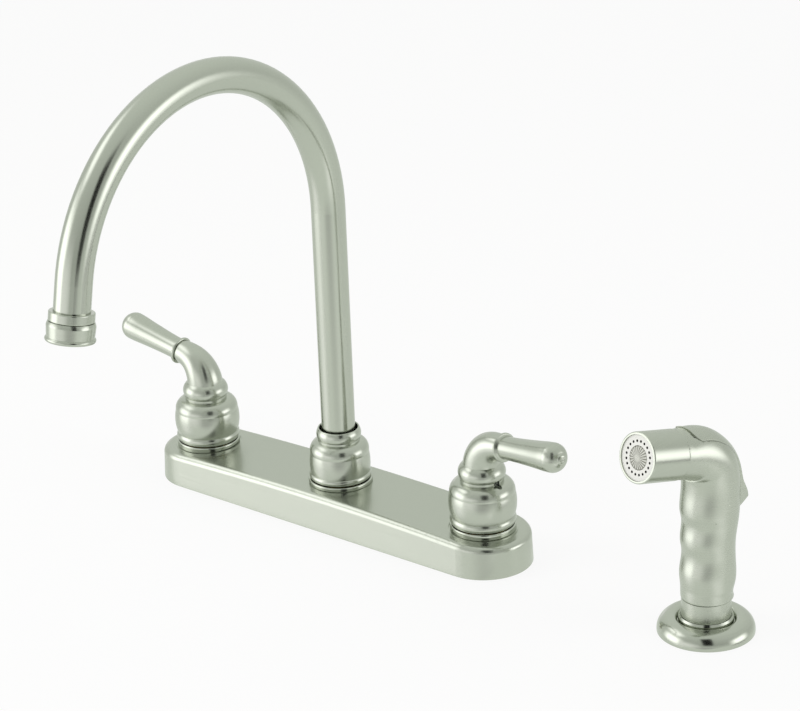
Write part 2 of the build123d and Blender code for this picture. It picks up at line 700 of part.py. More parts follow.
with BuildPart() as aerator_housing:
    with BuildSketch(upright(outlet)):
        with BuildLine():
            waist = AERATOR_END - LIP_HEIGHT
            top = BAND_END + 0.1
            crown = ThreePointArc(
                (THREAD_RADIUS + 0.9, top), (AERATOR_RADIUS - 0.35, top + 0.8), (AERATOR_RADIUS, top + 2.1)
            )
            side = Line(crown @ 1, (AERATOR_RADIUS - 0.4, waist - 0.4))
            lip = ThreePointArc(side @ 1, (LIP_RADIUS, waist + 0.9), (LIP_RADIUS - 0.8, AERATOR_END))
            Polyline(lip @ 1, (MOUTH_RADIUS, AERATOR_END), (MOUTH_RADIUS, INSERT_END),
                     (AERATOR_BORE, INSERT_END), (AERATOR_BORE, THREAD_END),
                     (THREAD_RADIUS + SNUG, THREAD_END), (THREAD_RADIUS + SNUG, top), crown @ 0)
        make_face()
    revolve(axis=axis_of(outlet))
finish(aerator_housing.part, "aerator_housing")

with BuildPart() as aerator_washer:
    drum(outlet, AERATOR_BORE - SNUG, WASHER_LOW, INSERT_LOW, TUBE_RADIUS - TUBE_WALL)
finish(aerator_washer.part, "aerator_washer")

with BuildPart() as aerator_insert:
    with BuildSketch(outlet.offset(INSERT_LOW)):
        Circle(AERATOR_BORE - SNUG)
        with PolarLocations(3.4, 6):
            Circle(MESH_HOLE, mode=Mode.SUBTRACT)
        with PolarLocations(6.8, 12):
            Circle(MESH_HOLE, mode=Mode.SUBTRACT)
    extrude(amount=INSERT_END - INSERT_LOW)
finish(aerator_insert.part, "aerator_insert")


# ---------- fasteners under the deck ----------


def wing_nut(base, top, bore):
    """A nut with a flange above and four wings round its barrel."""
    drum(base, WASHER_RADIUS, top - NUT_FLANGE, top)
    drum(base, bore + NUT_WALL, top - NUT_HEIGHT, top - NUT_FLANGE)
    with BuildSketch(base.offset(top - NUT_HEIGHT)) as wings:
        Rectangle(2 * WING_REACH, WING_THICKNESS)
        Rectangle(WING_THICKNESS, 2 * WING_REACH)
    extrude(wings.sketch, amount=NUT_HEIGHT - NUT_FLANGE)
    drum(base, bore, top - NUT_HEIGHT, top, mode=Mode.SUBTRACT)


WASHER_TOP = -DECK_GAP
NUT_TOP = WASHER_TOP - WASHER_HEIGHT

with BuildPart() as shank_washers:
    for x, _ in SETS.values():
        drum(standing(x, 0), WASHER_RADIUS, NUT_TOP, WASHER_TOP, SHANK_RADIUS + SNUG)
finish(shank_washers.part, "shank_washers")

with BuildPart() as shank_lock_nuts:
    for x, _ in SETS.values():
        wing_nut(standing(x, 45), NUT_TOP, SHANK_RADIUS + SNUG)
finish(shank_lock_nuts.part, "shank_lock_nuts")

# ---------- spray holder ----------

spray = standing(SPRAY_X, SPRAY_TURN)

with BuildPart() as holder_flange:
    with BuildSketch(upright(spray)):
        with BuildLine():
            wall = Line((HOLDER_RADIUS, 0), (HOLDER_RADIUS, 0.8))
            dome = ThreePointArc(wall @ 1, (23.6, 6.3), (HOLDER_CREST_RADIUS, HOLDER_CREST))
            dish = ThreePointArc(dome @ 1, (16.2, 7.9), (HOLDER_HOLE + 1.2, HOLDER_SEAT))
            Polyline(dish @ 1, (HOLDER_HOLE, HOLDER_SEAT), (HOLDER_HOLE, 0),
                     (HOLDER_HOLE + HOLDER_WALL, 0), (HOLDER_HOLE + HOLDER_WALL, 3.2),
                     (18.0, 5.6), (21.5, 4.6), (HOLDER_RADIUS - HOLDER_WALL, 0), wall @ 0)
        make_face()
    revolve(axis=axis_of(spray))
finish(holder_flange.part, "holder_flange")

with BuildPart() as holder_guide:
    turned(spray, (
        (GUIDE_BORE, -GUIDE_LENGTH), (GUIDE_SHANK, -GUIDE_LENGTH), (GUIDE_SHANK, 0),
        (HOLDER_HOLE - SNUG, 0), (HOLDER_HOLE - SNUG, HOLDER_SEAT), (CUP_RADIUS, HOLDER_SEAT),
        (CUP_RADIUS, CUP_TOP - 1.2), (CUP_RADIUS - 0.7, CUP_TOP), (CAP_RADIUS + 0.15, CUP_TOP - 0.3),
        (CAP_RADIUS + 0.15, CUP_FLOOR), (GUIDE_BORE, CUP_FLOOR)))
finish(holder_guide.part, "holder_guide")

with BuildPart() as holder_nut:
    wing_nut(spray, WASHER_TOP, GUIDE_SHANK + SNUG)
finish(holder_nut.part, "holder_nut")

# ---------- sprayer ----------

BEND = 90 - HEAD_PITCH
BEND_TANGENT = BEND_RADIUS * tan(radians(BEND / 2))
BEND_START = HEAD_CROSSING - BEND_TANGENT
head = aimed(spray, 0, HEAD_CROSSING, HEAD_PITCH)
bend_centre = (BEND_RADIUS, BEND_START)


def grip_at(angle):
    """The grip's cross-section plane at an angle along its bend."""
    reach = BEND_RADIUS * (1 - cos(radians(angle)))
    return aimed(spray, reach, BEND_START + BEND_RADIUS * sin(radians(angle)), 90 - angle)


def about_bend(radius, angle):
    """A point about the bend's centre, the angle rising from the back of the grip."""
    return (
        bend_centre[0] - radius * cos(radians(angle)),
        bend_centre[1] + radius * sin(radians(angle)),
    )


def in_side_view(reach, height):
    """A point of the sprayer's side view, in the assembly's frame."""
    return spray.from_local_coords((reach, 0, height))


PIN_PLACE = about_bend(BEND_RADIUS + PIN_REACH, PIN_ANGLE)
pin_line = Plane(origin=in_side_view(*PIN_PLACE), x_dir=spray.x_dir, z_dir=-spray.y_dir)
TRIGGER_OUTSIDE = BEND_RADIUS + 2 * GRIP_RADIUS


def lever_end(reach, clearance=0.0):
    """A point on the arc about the pin that ends the sprayer's lever."""
    radius = TRIGGER_REACH + clearance
    return (reach, PIN_PLACE[1] - sqrt(radius**2 - (PIN_PLACE[0] - reach) ** 2))


def lever_block(inside, clearance):
    """The room for the sprayer's lever, from an inner reach out past the skin."""
    floor = BEND_RADIUS + inside - clearance
    front = TRIGGER_FRONT + 2 * clearance
    with BuildPart() as block:
        with BuildSketch(upright(spray)) as outline:
            with BuildLine():
                reaches = (-GRIP_RADIUS - BEND_RADIUS / 2, -GRIP_RADIUS, clearance - inside)
                end = ThreePointArc(*[lever_end(reach, clearance) for reach in reaches])
                Line(end @ 1, (clearance - inside, BEND_START))
                under = ThreePointArc(*[about_bend(floor, angle) for angle in (0, front / 2, front)])
                outer = about_bend(TRIGGER_OUTSIDE, front)
                Polyline(under @ 1, outer, (-TRIGGER_OUTSIDE, outer[1]), end @ 0)
            make_face()
        extrude(outline.sketch, amount=TRIGGER_HALF_WIDTH + clearance, both=True)
        nose = block.faces().sort_by(axis_of(head))[-1]
        sides = nose.edges().filter_by(lambda edge: abs(edge.tangent_at(0).dot(spray.y_dir)) < 0.1)
        fillet(sides, TRIGGER_CORNER + clearance)
    return block.part


def lug_outline(radius):
    """The lug that hangs the lever on its pin."""
    lean = 180 - PIN_ANGLE
    with BuildSketch(pin_line) as outline:
        with PolarLocations(LUG_RISE / 2, 1, start_angle=lean):
            SlotCenterToCenter(LUG_RISE, 2 * radius)
    return outline.sketch


def pin_outline(radius):
    with BuildSketch(pin_line) as outline:
        Circle(radius)
    return outline.sketch


CAP_LOW = CUP_FLOOR + REST
CAP_FLOOR_TOP = CAP_LOW + CAP_FLOOR
CAP_BORE = CAP_RADIUS - CAP_WALL
COUPLING_TOP = CAP_FLOOR_TOP + COUPLING_REACH
SLEEVE_BORE = HEAD_RADIUS - SLEEVE_WALL
SPIGOT_END = HEAD_SEAM + HEAD_SPIGOT
FACE_SEAT = HEAD_LENGTH - FACE_RECESS - FACE_THICKNESS
FACE_FRONT = FACE_SEAT + FACE_THICKNESS
ROSE_SEAT = FACE_FRONT - ROSE_DEPTH
BONNET_END = BONNET_FACE + BONNET_THICKNESS
VALVE_DISC = BONNET_END + REST
SPRING_SEAT = VALVE_DISC + VALVE_DISC_THICKNESS
valve_line = aimed(spray, 0, VALVE_HEIGHT, 0)


def trigger_prism(clearance=0.0):
    """The room for the sprayer's lever, with the core left standing between its side walls."""
    with BuildPart() as prism:
        add(lever_block(TRIGGER_SKIRT, clearance))
        with BuildSketch(upright(spray)) as core:
            with Locations((0, HEAD_CROSSING)):
                Rectangle(2 * TRIGGER_OUTSIDE, 4 * TRIGGER_OUTSIDE)
        extrude(core.sketch, amount=TRIGGER_CHANNEL - clearance, both=True, mode=Mode.SUBTRACT)
        add(lever_block(TRIGGER_UNDERSIDE, clearance))
    return prism.part


groove_axis = Plane(origin=in_side_view(-GROOVE_SHIFT, 0), x_dir=spray.x_dir, z_dir=(0, 0, 1))


def finger_grooves():
    """The waved outline that turns about the grooves' axis to cut them."""
    crest = GROOVE_RADIUS + GROOVE_DEPTH
    waves = []
    for height in GROOVES:
        waves.append((crest, height - GROOVE_HALF_WIDTH))
        waves.append((GROOVE_RADIUS, height))
        waves.append((crest, height + GROOVE_HALF_WIDTH))
    with BuildSketch(upright(groove_axis)) as outline:
        with BuildLine():
            wave = Spline(*waves)
            Polyline(wave @ 1, (2 * crest, waves[-1][1]), (2 * crest, waves[0][1]), wave @ 0)
        make_face()
    return outline.sketch


with BuildPart() as sprayer_body:
    for height, radius, shift in GRIP_SECTIONS:
        with BuildSketch(aimed(spray, 0, height, 90)):
            with Locations((0, shift)):
                Circle(radius)
    for angle, radius, shift in BEND_SECTIONS:
        with BuildSketch(grip_at(angle)):
            with Locations((0, shift)):
                Circle(radius)
    with BuildSketch(head.offset((BEND_TANGENT + HEAD_SEAM) / 2)):
        with Locations((0, 0.2)):
            Circle(HEAD_RADIUS + 0.2)
    with BuildSketch(head.offset(HEAD_SEAM)):
        Circle(HEAD_RADIUS)
    loft()
    foot = sprayer_body.faces().sort_by(Axis.Z)[0]
    fillet(foot.edges(), FOOT_ROUND)
    revolve(finger_grooves(), axis_of(groove_axis), mode=Mode.SUBTRACT)
    drum(spray, CAP_BORE - SNUG, CAP_FLOOR_TOP, GRIP_FOOT)
    drum(head, SLEEVE_BORE - SNUG, HEAD_SEAM, SPIGOT_END)
    drum(spray, WATERWAY, CAP_FLOOR_TOP, HEAD_CROSSING, mode=Mode.SUBTRACT)
    drum(spray, COUPLING_THREAD + SNUG, CAP_FLOOR_TOP, COUPLING_TOP, mode=Mode.SUBTRACT)
    drum(head, WATERWAY, 0, SPIGOT_END, mode=Mode.SUBTRACT)
    slot = trigger_prism(FREE)
    for swing in (0, TRIGGER_PRESS):
        add(slot.rotate(axis_of(pin_line), swing), mode=Mode.SUBTRACT)
    extrude(lug_outline(LUG_RADIUS + FREE), amount=LUG_HALF_WIDTH + FREE, both=True, mode=Mode.SUBTRACT)
    extrude(pin_outline(PIN_RADIUS + SNUG), amount=PIN_HALF_LENGTH, both=True, mode=Mode.SUBTRACT)
    drum(valve_line, VALVE_CHAMBER, -TRIGGER_UNDERSIDE, VALVE_END, mode=Mode.SUBTRACT)
finish(sprayer_body.part, "sprayer_body")

with BuildPart() as trigger_skin:
    for height, reach in TRIGGER_THUMB:
        with BuildSketch(aimed(spray, 0, height, 90)):
            with Locations((0, reach - TRIGGER_ROUND)):
                Circle(TRIGGER_ROUND)
    for angle, reach in TRIGGER_BEND:
        with BuildSketch(grip_at(angle)):
            with Locations((0, reach - TRIGGER_ROUND)):
                Circle(TRIGGER_ROUND)
    for distance, reach in TRIGGER_TOP:
        with BuildSketch(head.offset(distance)):
            with Locations((0, reach - TRIGGER_ROUND)):
                Circle(TRIGGER_ROUND)
    loft()

with BuildPart() as spray_lever:
    add(trigger_prism())
    add(trigger_skin.part, mode=Mode.INTERSECT)
    extrude(lug_outline(LUG_RADIUS), amount=LUG_HALF_WIDTH, both=True)
    extrude(pin_outline(PIN_RADIUS + RUN), amount=LUG_HALF_WIDTH, both=True, mode=Mode.SUBTRACT)
finish(spray_lever.part, "spray_lever")

with BuildPart() as spray_lever_pin:
    extrude(pin_outline(PIN_RADIUS), amount=PIN_HALF_LENGTH, both=True)
finish(spray_lever_pin.part, "spray_lever_pin")

with BuildPart() as spray_valve_bonnet:
    drum(valve_line, VALVE_CHAMBER - SNUG, BONNET_FACE, BONNET_END, VALVE_STEM + RUN)
finish(spray_valve_bonnet.part, "spray_valve_bonnet")

with BuildPart() as spray_valve_stem:
    drum(valve_line, VALVE_STEM, STEM_GAP - TRIGGER_UNDERSIDE, VALVE_DISC)
    tip = spray_valve_stem.faces().sort_by(axis_of(valve_line))[0]
    chamfer(tip.edges(), 0.6)
    drum(valve_line, VALVE_CHAMBER - 0.6, VALVE_DISC, SPRING_SEAT)
finish(spray_valve_stem.part, "spray_valve_stem")

finish(coil(valve_line, SPRING_SEAT, VALVE_END, 3.2, 0.6, 3), "spray_valve_spring")

with BuildPart() as sprayer_end_cap:
    drum(spray, CAP_RADIUS, CAP_LOW, GRIP_FOOT)
    fillet(sprayer_end_cap.edges().group_by(Axis.Z)[0], 0.5)
    drum(spray, CAP_BORE, CAP_FLOOR_TOP, GRIP_FOOT, mode=Mode.SUBTRACT)
    drum(spray, COUPLING_THREAD + SNUG, CAP_LOW, CAP_FLOOR_TOP, mode=Mode.SUBTRACT)
finish(sprayer_end_cap.part, "sprayer_end_cap")

with BuildPart() as hose_coupling:
    hex_foot = CAP_LOW - COUPLING_HEX
    barb_foot = hex_foot - BARB_LENGTH
    drum(spray, COUPLING_THREAD, CAP_LOW, COUPLING_TOP)
    with BuildSketch(spray.offset(CAP_LOW)):
        RegularPolygon(COUPLING_FLATS / 2, 6, major_radius=False)
    extrude(amount=-COUPLING_HEX)
    drum(spray, BARB_RADIUS, barb_foot, hex_foot)
    drum(spray, NIPPLE_BORE, barb_foot, COUPLING_TOP, mode=Mode.SUBTRACT)
finish(hose_coupling.part, "hose_coupling")

with BuildPart() as spray_head_sleeve:
    drum(head, HEAD_RADIUS, HEAD_SEAM, HEAD_LENGTH)
    rim = spray_head_sleeve.edges().sort_by(axis_of(head))[-1]
    fillet(rim, SLEEVE_WALL / 2)
    drum(head, SLEEVE_BORE, HEAD_SEAM, SPIGOT_END, mode=Mode.SUBTRACT)
    drum(head, SLEEVE_BORE - FACE_LEDGE, SPIGOT_END, FACE_SEAT, mode=Mode.SUBTRACT)
    drum(head, SLEEVE_BORE, FACE_SEAT, HEAD_LENGTH, mode=Mode.SUBTRACT)
finish(spray_head_sleeve.part, "spray_head_sleeve")

with BuildPart() as spray_face:
    drum(head, SLEEVE_BORE - SNUG, FACE_SEAT, FACE_FRONT)
    drum(head, ROSE_RADIUS + ROSE_MOAT, ROSE_SEAT, FACE_FRONT, mode=Mode.SUBTRACT)
    with BuildSketch(head.offset(FACE_SEAT)):
        with PolarLocations(JET_CIRCLE, JETS):
            Circle(JET_RADIUS)
        Circle(ROSE_STEM + SNUG)
    extrude(amount=FACE_THICKNESS, mode=Mode.SUBTRACT)
finish(spray_face.part, "spray_face")

with BuildPart() as spray_rose:
    with BuildSketch(upright(head)):
        with BuildLine():
            crest = FACE_FRONT + ROSE_CROWN
            dome = ThreePointArc((ROSE_RADIUS, FACE_FRONT - 0.5), (3.6, crest - 0.4), (1.0, crest))
            Polyline(dome @ 1, (0, crest), (0, FACE_SEAT - 2.5), (ROSE_STEM, FACE_SEAT - 2.5),
                     (ROSE_STEM, ROSE_SEAT), (ROSE_RADIUS, ROSE_SEAT), dome @ 0)
        make_face()
    revolve(axis=axis_of(head))
    with BuildSketch(head.offset(FACE_FRONT - 0.3)):
        with PolarLocations(ROSE_RADIUS * 0.65, ROSE_RIBS):
            Rectangle(ROSE_RADIUS * 0.7, ROSE_GAP)
    extrude(amount=ROSE_CROWN + 1, mode=Mode.SUBTRACT)
finish(spray_rose.part, "spray_rose")
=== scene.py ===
"""Side spray kitchen faucet: its finishes, the moulded detail of its spray head, and the studio."""

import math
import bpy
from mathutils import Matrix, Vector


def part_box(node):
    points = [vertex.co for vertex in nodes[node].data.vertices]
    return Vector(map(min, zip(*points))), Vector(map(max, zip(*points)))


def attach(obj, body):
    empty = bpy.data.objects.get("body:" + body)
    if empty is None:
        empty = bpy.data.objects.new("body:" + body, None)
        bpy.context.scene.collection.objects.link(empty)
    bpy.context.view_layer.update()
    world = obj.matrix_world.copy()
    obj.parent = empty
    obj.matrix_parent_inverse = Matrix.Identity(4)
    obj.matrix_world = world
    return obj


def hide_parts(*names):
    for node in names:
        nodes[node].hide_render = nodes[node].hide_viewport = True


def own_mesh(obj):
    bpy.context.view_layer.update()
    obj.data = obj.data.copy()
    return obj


bl_info = {
    "name": "Side Spray Kitchen Faucet",
    "version": (1, 0, 0),
    "blender": (4, 5, 0),
    "location": "3D View > Sidebar > Faucet",
    "description": "Dresses a packed kitchen faucet in satin nickel, brass and plastic",
    "category": "Object",
}

import bmesh
import bpy
from bpy.props import FloatProperty, FloatVectorProperty, IntProperty, PointerProperty
from mathutils import Matrix, Vector
from mathutils.bvhtree import BVHTree

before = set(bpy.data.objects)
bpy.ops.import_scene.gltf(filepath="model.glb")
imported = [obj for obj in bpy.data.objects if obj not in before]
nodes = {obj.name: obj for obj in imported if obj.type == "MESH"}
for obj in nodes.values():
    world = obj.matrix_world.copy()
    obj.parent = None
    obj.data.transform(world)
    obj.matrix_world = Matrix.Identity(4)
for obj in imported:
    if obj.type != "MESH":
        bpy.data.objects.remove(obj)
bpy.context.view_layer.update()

UPRIGHT = (0, 0, 1)
# Edges that turn by more than this stay sharp on a copied mesh.
SHARP = math.radians(32)

# The assembly's own lines, from the part, in metres: where the handles stand along X, how their
# levers point, how the outlet leans, and the axis and the jets of the spray head.
SIDES = {"hot": -0.1016, "cold": 0.1016}
LEVER_TURNS = {"hot": math.radians(177.5), "cold": math.radians(-11.0)}
LEVER_PITCH = math.radians(9.6)
OUTLET_TILT = math.radians(11.1)
SPRAY_X = 0.2465
SPRAY_TURN = math.radians(-104.0)
HEAD_CROSSING = 0.1013
HEAD_PITCH = math.radians(12.8)
HEAD_LENGTH = 0.0488
JETS = 20
JET_CIRCLE = 0.00855
JET_RADIUS = 0.00065
DIVERTER_TRAVEL = 0.0025
VALVE_TRAVEL = 0.002547

# The sprayer's skin, in millimetres: circles of a radius, each moved back from its line. The grip's
# are placed by height, the bend's by degrees, and the head's by distance along it.
GRIP_SECTIONS = (
    (19.4, 14.0, 0.8),
    (28, 14.2, 0.9),
    (40, 14.35, 1.0),
    (55, 14.35, 1.1),
    (65, 15.0, 2.0),
    (78, 15.3, 2.3),
)
BEND_RADIUS = 15.5
BEND_SECTIONS = ((0, 15.3, 2.0), (26, 15.1, 1.2), (52, 14.7, 0.2), (77.2, 14.0, 0.1))
HEAD_SECTIONS = ((18.74, 13.4, 0.2), (25.1, 13.2, 0.0))
SKIN_STEPS = 14
SKIN_SIDES = 160
# Heights of the crests and valleys of the finger grip, and how far each stands off the skin on the
# outline that the photo shows. That lies about 37 degrees off the front, where the waves have
# faded to OUTLINE_FADE of their height.
GRIP_WAVES = (
    (24.0, 0.0),
    (33.4, 0.55),
    (44.8, -0.74),
    (53.0, 0.23),
    (62.0, -0.5),
    (70.0, 0.57),
    (83.0, -0.37),
    (92.0, 0.0),
)
OUTLINE_FADE = 0.75
# The part of the body that the waves are laid on: its heights, the radius of the core inside it
# that is left alone, its half width in radians, and the widths of its fade to the side, at the
# foot and at the top.
GRIP_FOOT = 24.5
GRIP_TOP = 92
GRIP_CORE = 10
GRIP_HALF = 2.1
SIDE_FADE = 0.25
FOOT_FADE = 2.5
TOP_FADE = 3
# Its long edges are halved in rounds, down to these lengths, so that they can follow the waves. No
# point moves further than GRIP_SHIFT.
GRIP_EDGES = (8.0, 4.0, 2.2, 1.4, 1.0, 0.8)
GRIP_SHIFT = 3.5

# The ribbed button, in metres: how far its rim lies behind the mouth of the head, the heights of
# the rings down its side, and the radii between which the shade of its flutes comes in. Its crown
# has rings at these shares of its radius, and the flutes start past ROSE_PLAIN.
ROSE_SUNK = 0.0008
ROSE_SIDE = (-0.0006, -0.0018)
ROSE_SHADE = (0.0012, 0.0026)
ROSE_RINGS = (0.0, 0.06, 0.13, 0.2, 0.28, 0.37, 0.46, 0.55, 0.64, 0.73, 0.82, 0.9, 0.96, 1.0)
ROSE_PLAIN = 0.05

# Pitches of the threads in millimetres: half inch pipe on the shanks, 14 turns to the inch, and
# quarter inch pipe on the hose nipple, 18 turns to the inch.
SHANK_PITCH = 1.814
NIPPLE_PITCH = 1.411

# How the brush lines are stretched: level round an upright axis, along a lever, along the cover.
# The tube's are too fine to tell apart, so its pattern is even.
ROUND_Z = (0.02, 0.02, 1.0)
ALONG_LEVER = (1.0, 0.03, 0.03)
ALONG_COVER = (0.015, 1.0, 1.0)
EVEN = (0.5, 0.5, 0.5)

# The photo's camera: degrees of turn, rise and roll, metres from the middle of the spout's foot,
# how far that point lies from the middle of the view, and the lens in millimetres, which was
# fitted in pixels of a picture 800 wide.
VIEW_TURN = 39.5286
VIEW_RISE = 22.3114
VIEW_ROLL = -2.1458
VIEW_DISTANCE = 1.61396
VIEW_SHIFT = (-0.0329155, -0.0899558)
SENSOR_WIDTH = 36
VIEW_LENS = 2821.11 * SENSOR_WIDTH / 800

WHITE = (1, 1, 1, 1)
CLOTH = "#FAFFF8"
# How much of the floor glows for the camera: the rest shows the faint shadow.
FLOOR_GLOW = 0.86
STUDIO_REACH = 6.0
SCREEN_SIZE = (0.46, 0.07, 0.14)
SCREEN_PLACE = (0.06, 0, -0.074)
PANEL_AIM = Vector((0.06, 0, 0.12))
LAMP_AIM = Vector((0.05, -0.03, 0.1))
LAMP_DISTANCE = 1.15
# Each panel's name, degrees right of the camera and above level, width and height in degrees,
# brightness, the share of it that its soft edge takes, and metres away.
PANELS = (
    ("left_glow", -54, 0, 100, 54, 1.15, 0.5, 4.8),
    ("left_softbox", -88, 5, 66, 62, 2.2, 0.4, 4.6),
    ("high_softbox", -106, 46, 58, 34, 1.9, 0.4, 4.4),
    ("right_softbox", 74, 6, 58, 44, 2.2, 0.4, 4.2),
    ("back_softbox", -168, 0, 30, 30, 0.95, 0.45, 4.0),
    ("table_glow", 40, -31, 64, 16, 1.4, 0.5, 3.8),
    ("table_left", -84, -27, 62, 30, 1.2, 0.5, 3.9),
    ("table_edge", 74, -13, 48, 7, 0.2, 0.3, 3.6),
    ("table_front", -4, -14, 70, 22, 0.45, 0.5, 3.4),
    ("camera_and_stand", 8, 27, 27, 62, 0.01, 0.22, 0.82),
)


def linear(code):
    """The linear colour of an sRGB hex value."""
    channels = [int(code[i : i + 2], 16) / 255 for i in (1, 3, 5)]
    return [c / 12.92 if c <= 0.04045 else ((c + 0.055) / 1.055) ** 2.4 for c in channels]


def opaque(colour):
    """A colour with the alpha that a socket asks for."""
    return (*colour, 1.0)


def bearing(turn, rise):
    """The unit vector that points turn round from X and rise above level."""
    flat = math.cos(rise)
    return Vector((math.cos(turn) * flat, math.sin(turn) * flat, math.sin(rise)))


def head_plane(distance):
    """The frame of the spray head: Z out of its face, Y up, its origin on the axis."""
    out = bearing(SPRAY_TURN, HEAD_PITCH)
    side = Vector(UPRIGHT).cross(out).normalized()
    place = Vector((SPRAY_X, 0, HEAD_CROSSING)) + out * distance
    turn = Matrix((side, out.cross(side), out)).transposed().to_4x4()
    return Matrix.Translation(place) @ turn


# ---------- sizes and colours ----------


class FaucetFinish(bpy.types.PropertyGroup):
    """The plated, cast and moulded finishes of the faucet."""

    plating: FloatVectorProperty(
        name="Plating",
        description="Colour of the nickel plating",
        subtype="COLOR",
        size=3,
        min=0,
        max=1,
        default=linear("#C2C6BB"),
    )
    satin: FloatProperty(
        name="Satin",
        description="Roughness of the brushed plating",
        subtype="FACTOR",
        min=0,
        max=1,
        default=0.24,
    )
    polish: FloatProperty(
        name="Polish",
        description="Roughness of the polished rings",
        subtype="FACTOR",
        min=0,
        max=1,
        default=0.07,
    )
    brass: FloatVectorProperty(
        name="Brass",
        description="Colour of the bare brass",
        subtype="COLOR",
        size=3,
        min=0,
        max=1,
        default=linear("#D9B876"),
    )
    face: FloatVectorProperty(
        name="Spray face",
        description="Colour of the moulded spray face",
        subtype="COLOR",
        size=3,
        min=0,
        max=1,
        default=linear("#F4F4EE"),
    )


class FaucetRose(bpy.types.PropertyGroup):
    """The ribbed button in the middle of the spray face."""

    ribs: IntProperty(
        name="Ribs", description="Ribs round the button", min=6, max=60, default=22
    )
    radius: FloatProperty(
        name="Radius",
        description="Radius of the button",
        unit="LENGTH",
        min=0.001,
        default=0.0058,
    )
    crown: FloatProperty(
        name="Crown",
        description="Rise of the button's middle over its rim",
        unit="LENGTH",
        min=0,
        default=0.0009,
    )
    flute: FloatProperty(
        name="Flute",
        description="Depth of the valleys between the ribs",
        unit="LENGTH",
        min=0,
        default=0.0005,
    )


class FaucetGrip(bpy.types.PropertyGroup):
    """The finger grip of the sprayer."""

    depth: FloatProperty(
        name="Wave depth",
        description="Depth of the finger waves, as a share of the real grip's",
        subtype="FACTOR",
        min=0,
        max=1.2,
        default=1.0,
    )
    wrap: FloatProperty(
        name="Wrap",
        description="Angle from the front of the grip at which the waves have faded away",
        unit="ROTATION",
        min=0.5,
        max=2.2,
        default=math.radians(110),
    )


class FaucetStudio(bpy.types.PropertyGroup):
    """The studio round the faucet."""

    surround: FloatProperty(
        name="Surround",
        description="Strength of the white surround on matt surfaces",
        min=0,
        max=2,
        default=0.72,
    )
    key: FloatProperty(
        name="Key",
        description="Power of the large soft lamp on the left",
        unit="POWER",
        min=0,
        default=3.2,
    )
    fill: FloatProperty(
        name="Fill",
        description="Power of the soft lamp on the right",
        unit="POWER",
        min=0,
        default=1.4,
    )


# ---------- nodes ----------


def add_node(tree, kind, sockets=None, **settings):
    """Adds a node with its settings, its values and its links."""
    node = tree.nodes.new(kind)
    for name, value in settings.items():
        setattr(node, name, value)
    for name, value in (sockets or {}).items():
        if isinstance(value, bpy.types.NodeSocket):
            tree.links.new(value, node.inputs[name])
        else:
            node.inputs[name].default_value = value
    return node


def calc(tree, operation, *values):
    """A number worked out from others."""
    node = add_node(tree, "ShaderNodeMath", dict(enumerate(values)), operation=operation)
    return node.outputs["Value"]


def calc_vector(tree, operation, *values):
    """A vector worked out from others, or their dot product or length."""
    node = add_node(tree, "ShaderNodeVectorMath", dict(enumerate(values)), operation=operation)
    return node.outputs["Value" if operation in ("DOT_PRODUCT", "LENGTH") else "Vector"]


def ranged(tree, value, low, high, near=0.3, far=0.7, **settings):
    """Lays a value's range from near to far, where most of a noise lies, on low to high."""
    sockets = {"Value": value, "From Min": near, "From Max": far, "To Min": low, "To Max": high}
    return add_node(tree, "ShaderNodeMapRange", sockets, **settings).outputs["Result"]


def eased(tree, value, near, far, low=0.0, high=1.0):
    """Lays a value's range from near to far on low to high, with soft ends."""
    return ranged(tree, value, low, high, near, far, interpolation_type="SMOOTHSTEP")


def noise(tree, place, size, detail, rough=0.5):
    """A noise with patches about size millimetres across."""
    sockets = {"Vector": place, "Scale": 1000 / size, "Detail": detail, "Roughness": rough}
    return add_node(tree, "ShaderNodeTexNoise", sockets).outputs["Fac"]


def tinted(tree, colour, value):
    """A colour made lighter or darker."""
    sockets = {"Color": opaque(colour), "Value": value}
    return add_node(tree, "ShaderNodeHueSaturation", sockets).outputs["Color"]


def mixed(tree, share, first, second):
    """A colour between two."""
    mix = add_node(tree, "ShaderNodeMix", {0: share, 6: first, 7: second}, data_type="RGBA")
    return mix.outputs[2]


def bumped(tree, height, strength, depth):
    """A normal bent by a height, over a depth in metres."""
    sockets = {"Height": height, "Strength": strength, "Distance": depth}
    return add_node(tree, "ShaderNodeBump", sockets).outputs["Normal"]


def glowing(tree, colour, strength):
    """A surface that gives off light."""
    sockets = {"Color": colour, "Strength": strength}
    return add_node(tree, "ShaderNodeEmission", sockets).outputs["Emission"]


def object_place(tree):
    """A point's place in its own object, which a pose leaves as it is."""
    return add_node(tree, "ShaderNodeTexCoord").outputs["Object"]


def split_place(tree, place):
    """The outputs X, Y and Z of a vector."""
    return add_node(tree, "ShaderNodeSeparateXYZ", {"Vector": place}).outputs


def head_spot(tree):
    """How far across and how far up a point lies from the axis of the spray head."""
    turn = head_plane(0).inverted()
    sockets = {
        "Vector": object_place(tree),
        "Location": tuple(turn.translation),
        "Rotation": tuple(turn.to_euler()),
    }
    place = split_place(tree, add_node(tree, "ShaderNodeMapping", sockets).outputs["Vector"])
    return place["X"], place["Y"]


def distance(tree, across, up):
    """How far a point lies from an axis."""
    flat = add_node(tree, "ShaderNodeCombineXYZ", {"X": across, "Y": up})
    return calc_vector(tree, "LENGTH", flat.outputs["Vector"])


def seen_directly(tree):
    """One for the camera's view, straight or through gloss and clear plastic, and nought if not."""
    light = add_node(tree, "ShaderNodeLightPath").outputs
    seen = calc(tree, "MAXIMUM", light["Is Camera Ray"], light["Is Glossy Ray"])
    return calc(tree, "MAXIMUM", seen, light["Is Transmission Ray"])


def show(tree, shader, output="ShaderNodeOutputMaterial"):
    """Ends a tree with the shader that it shows."""
    add_node(tree, output, {"Surface": shader})


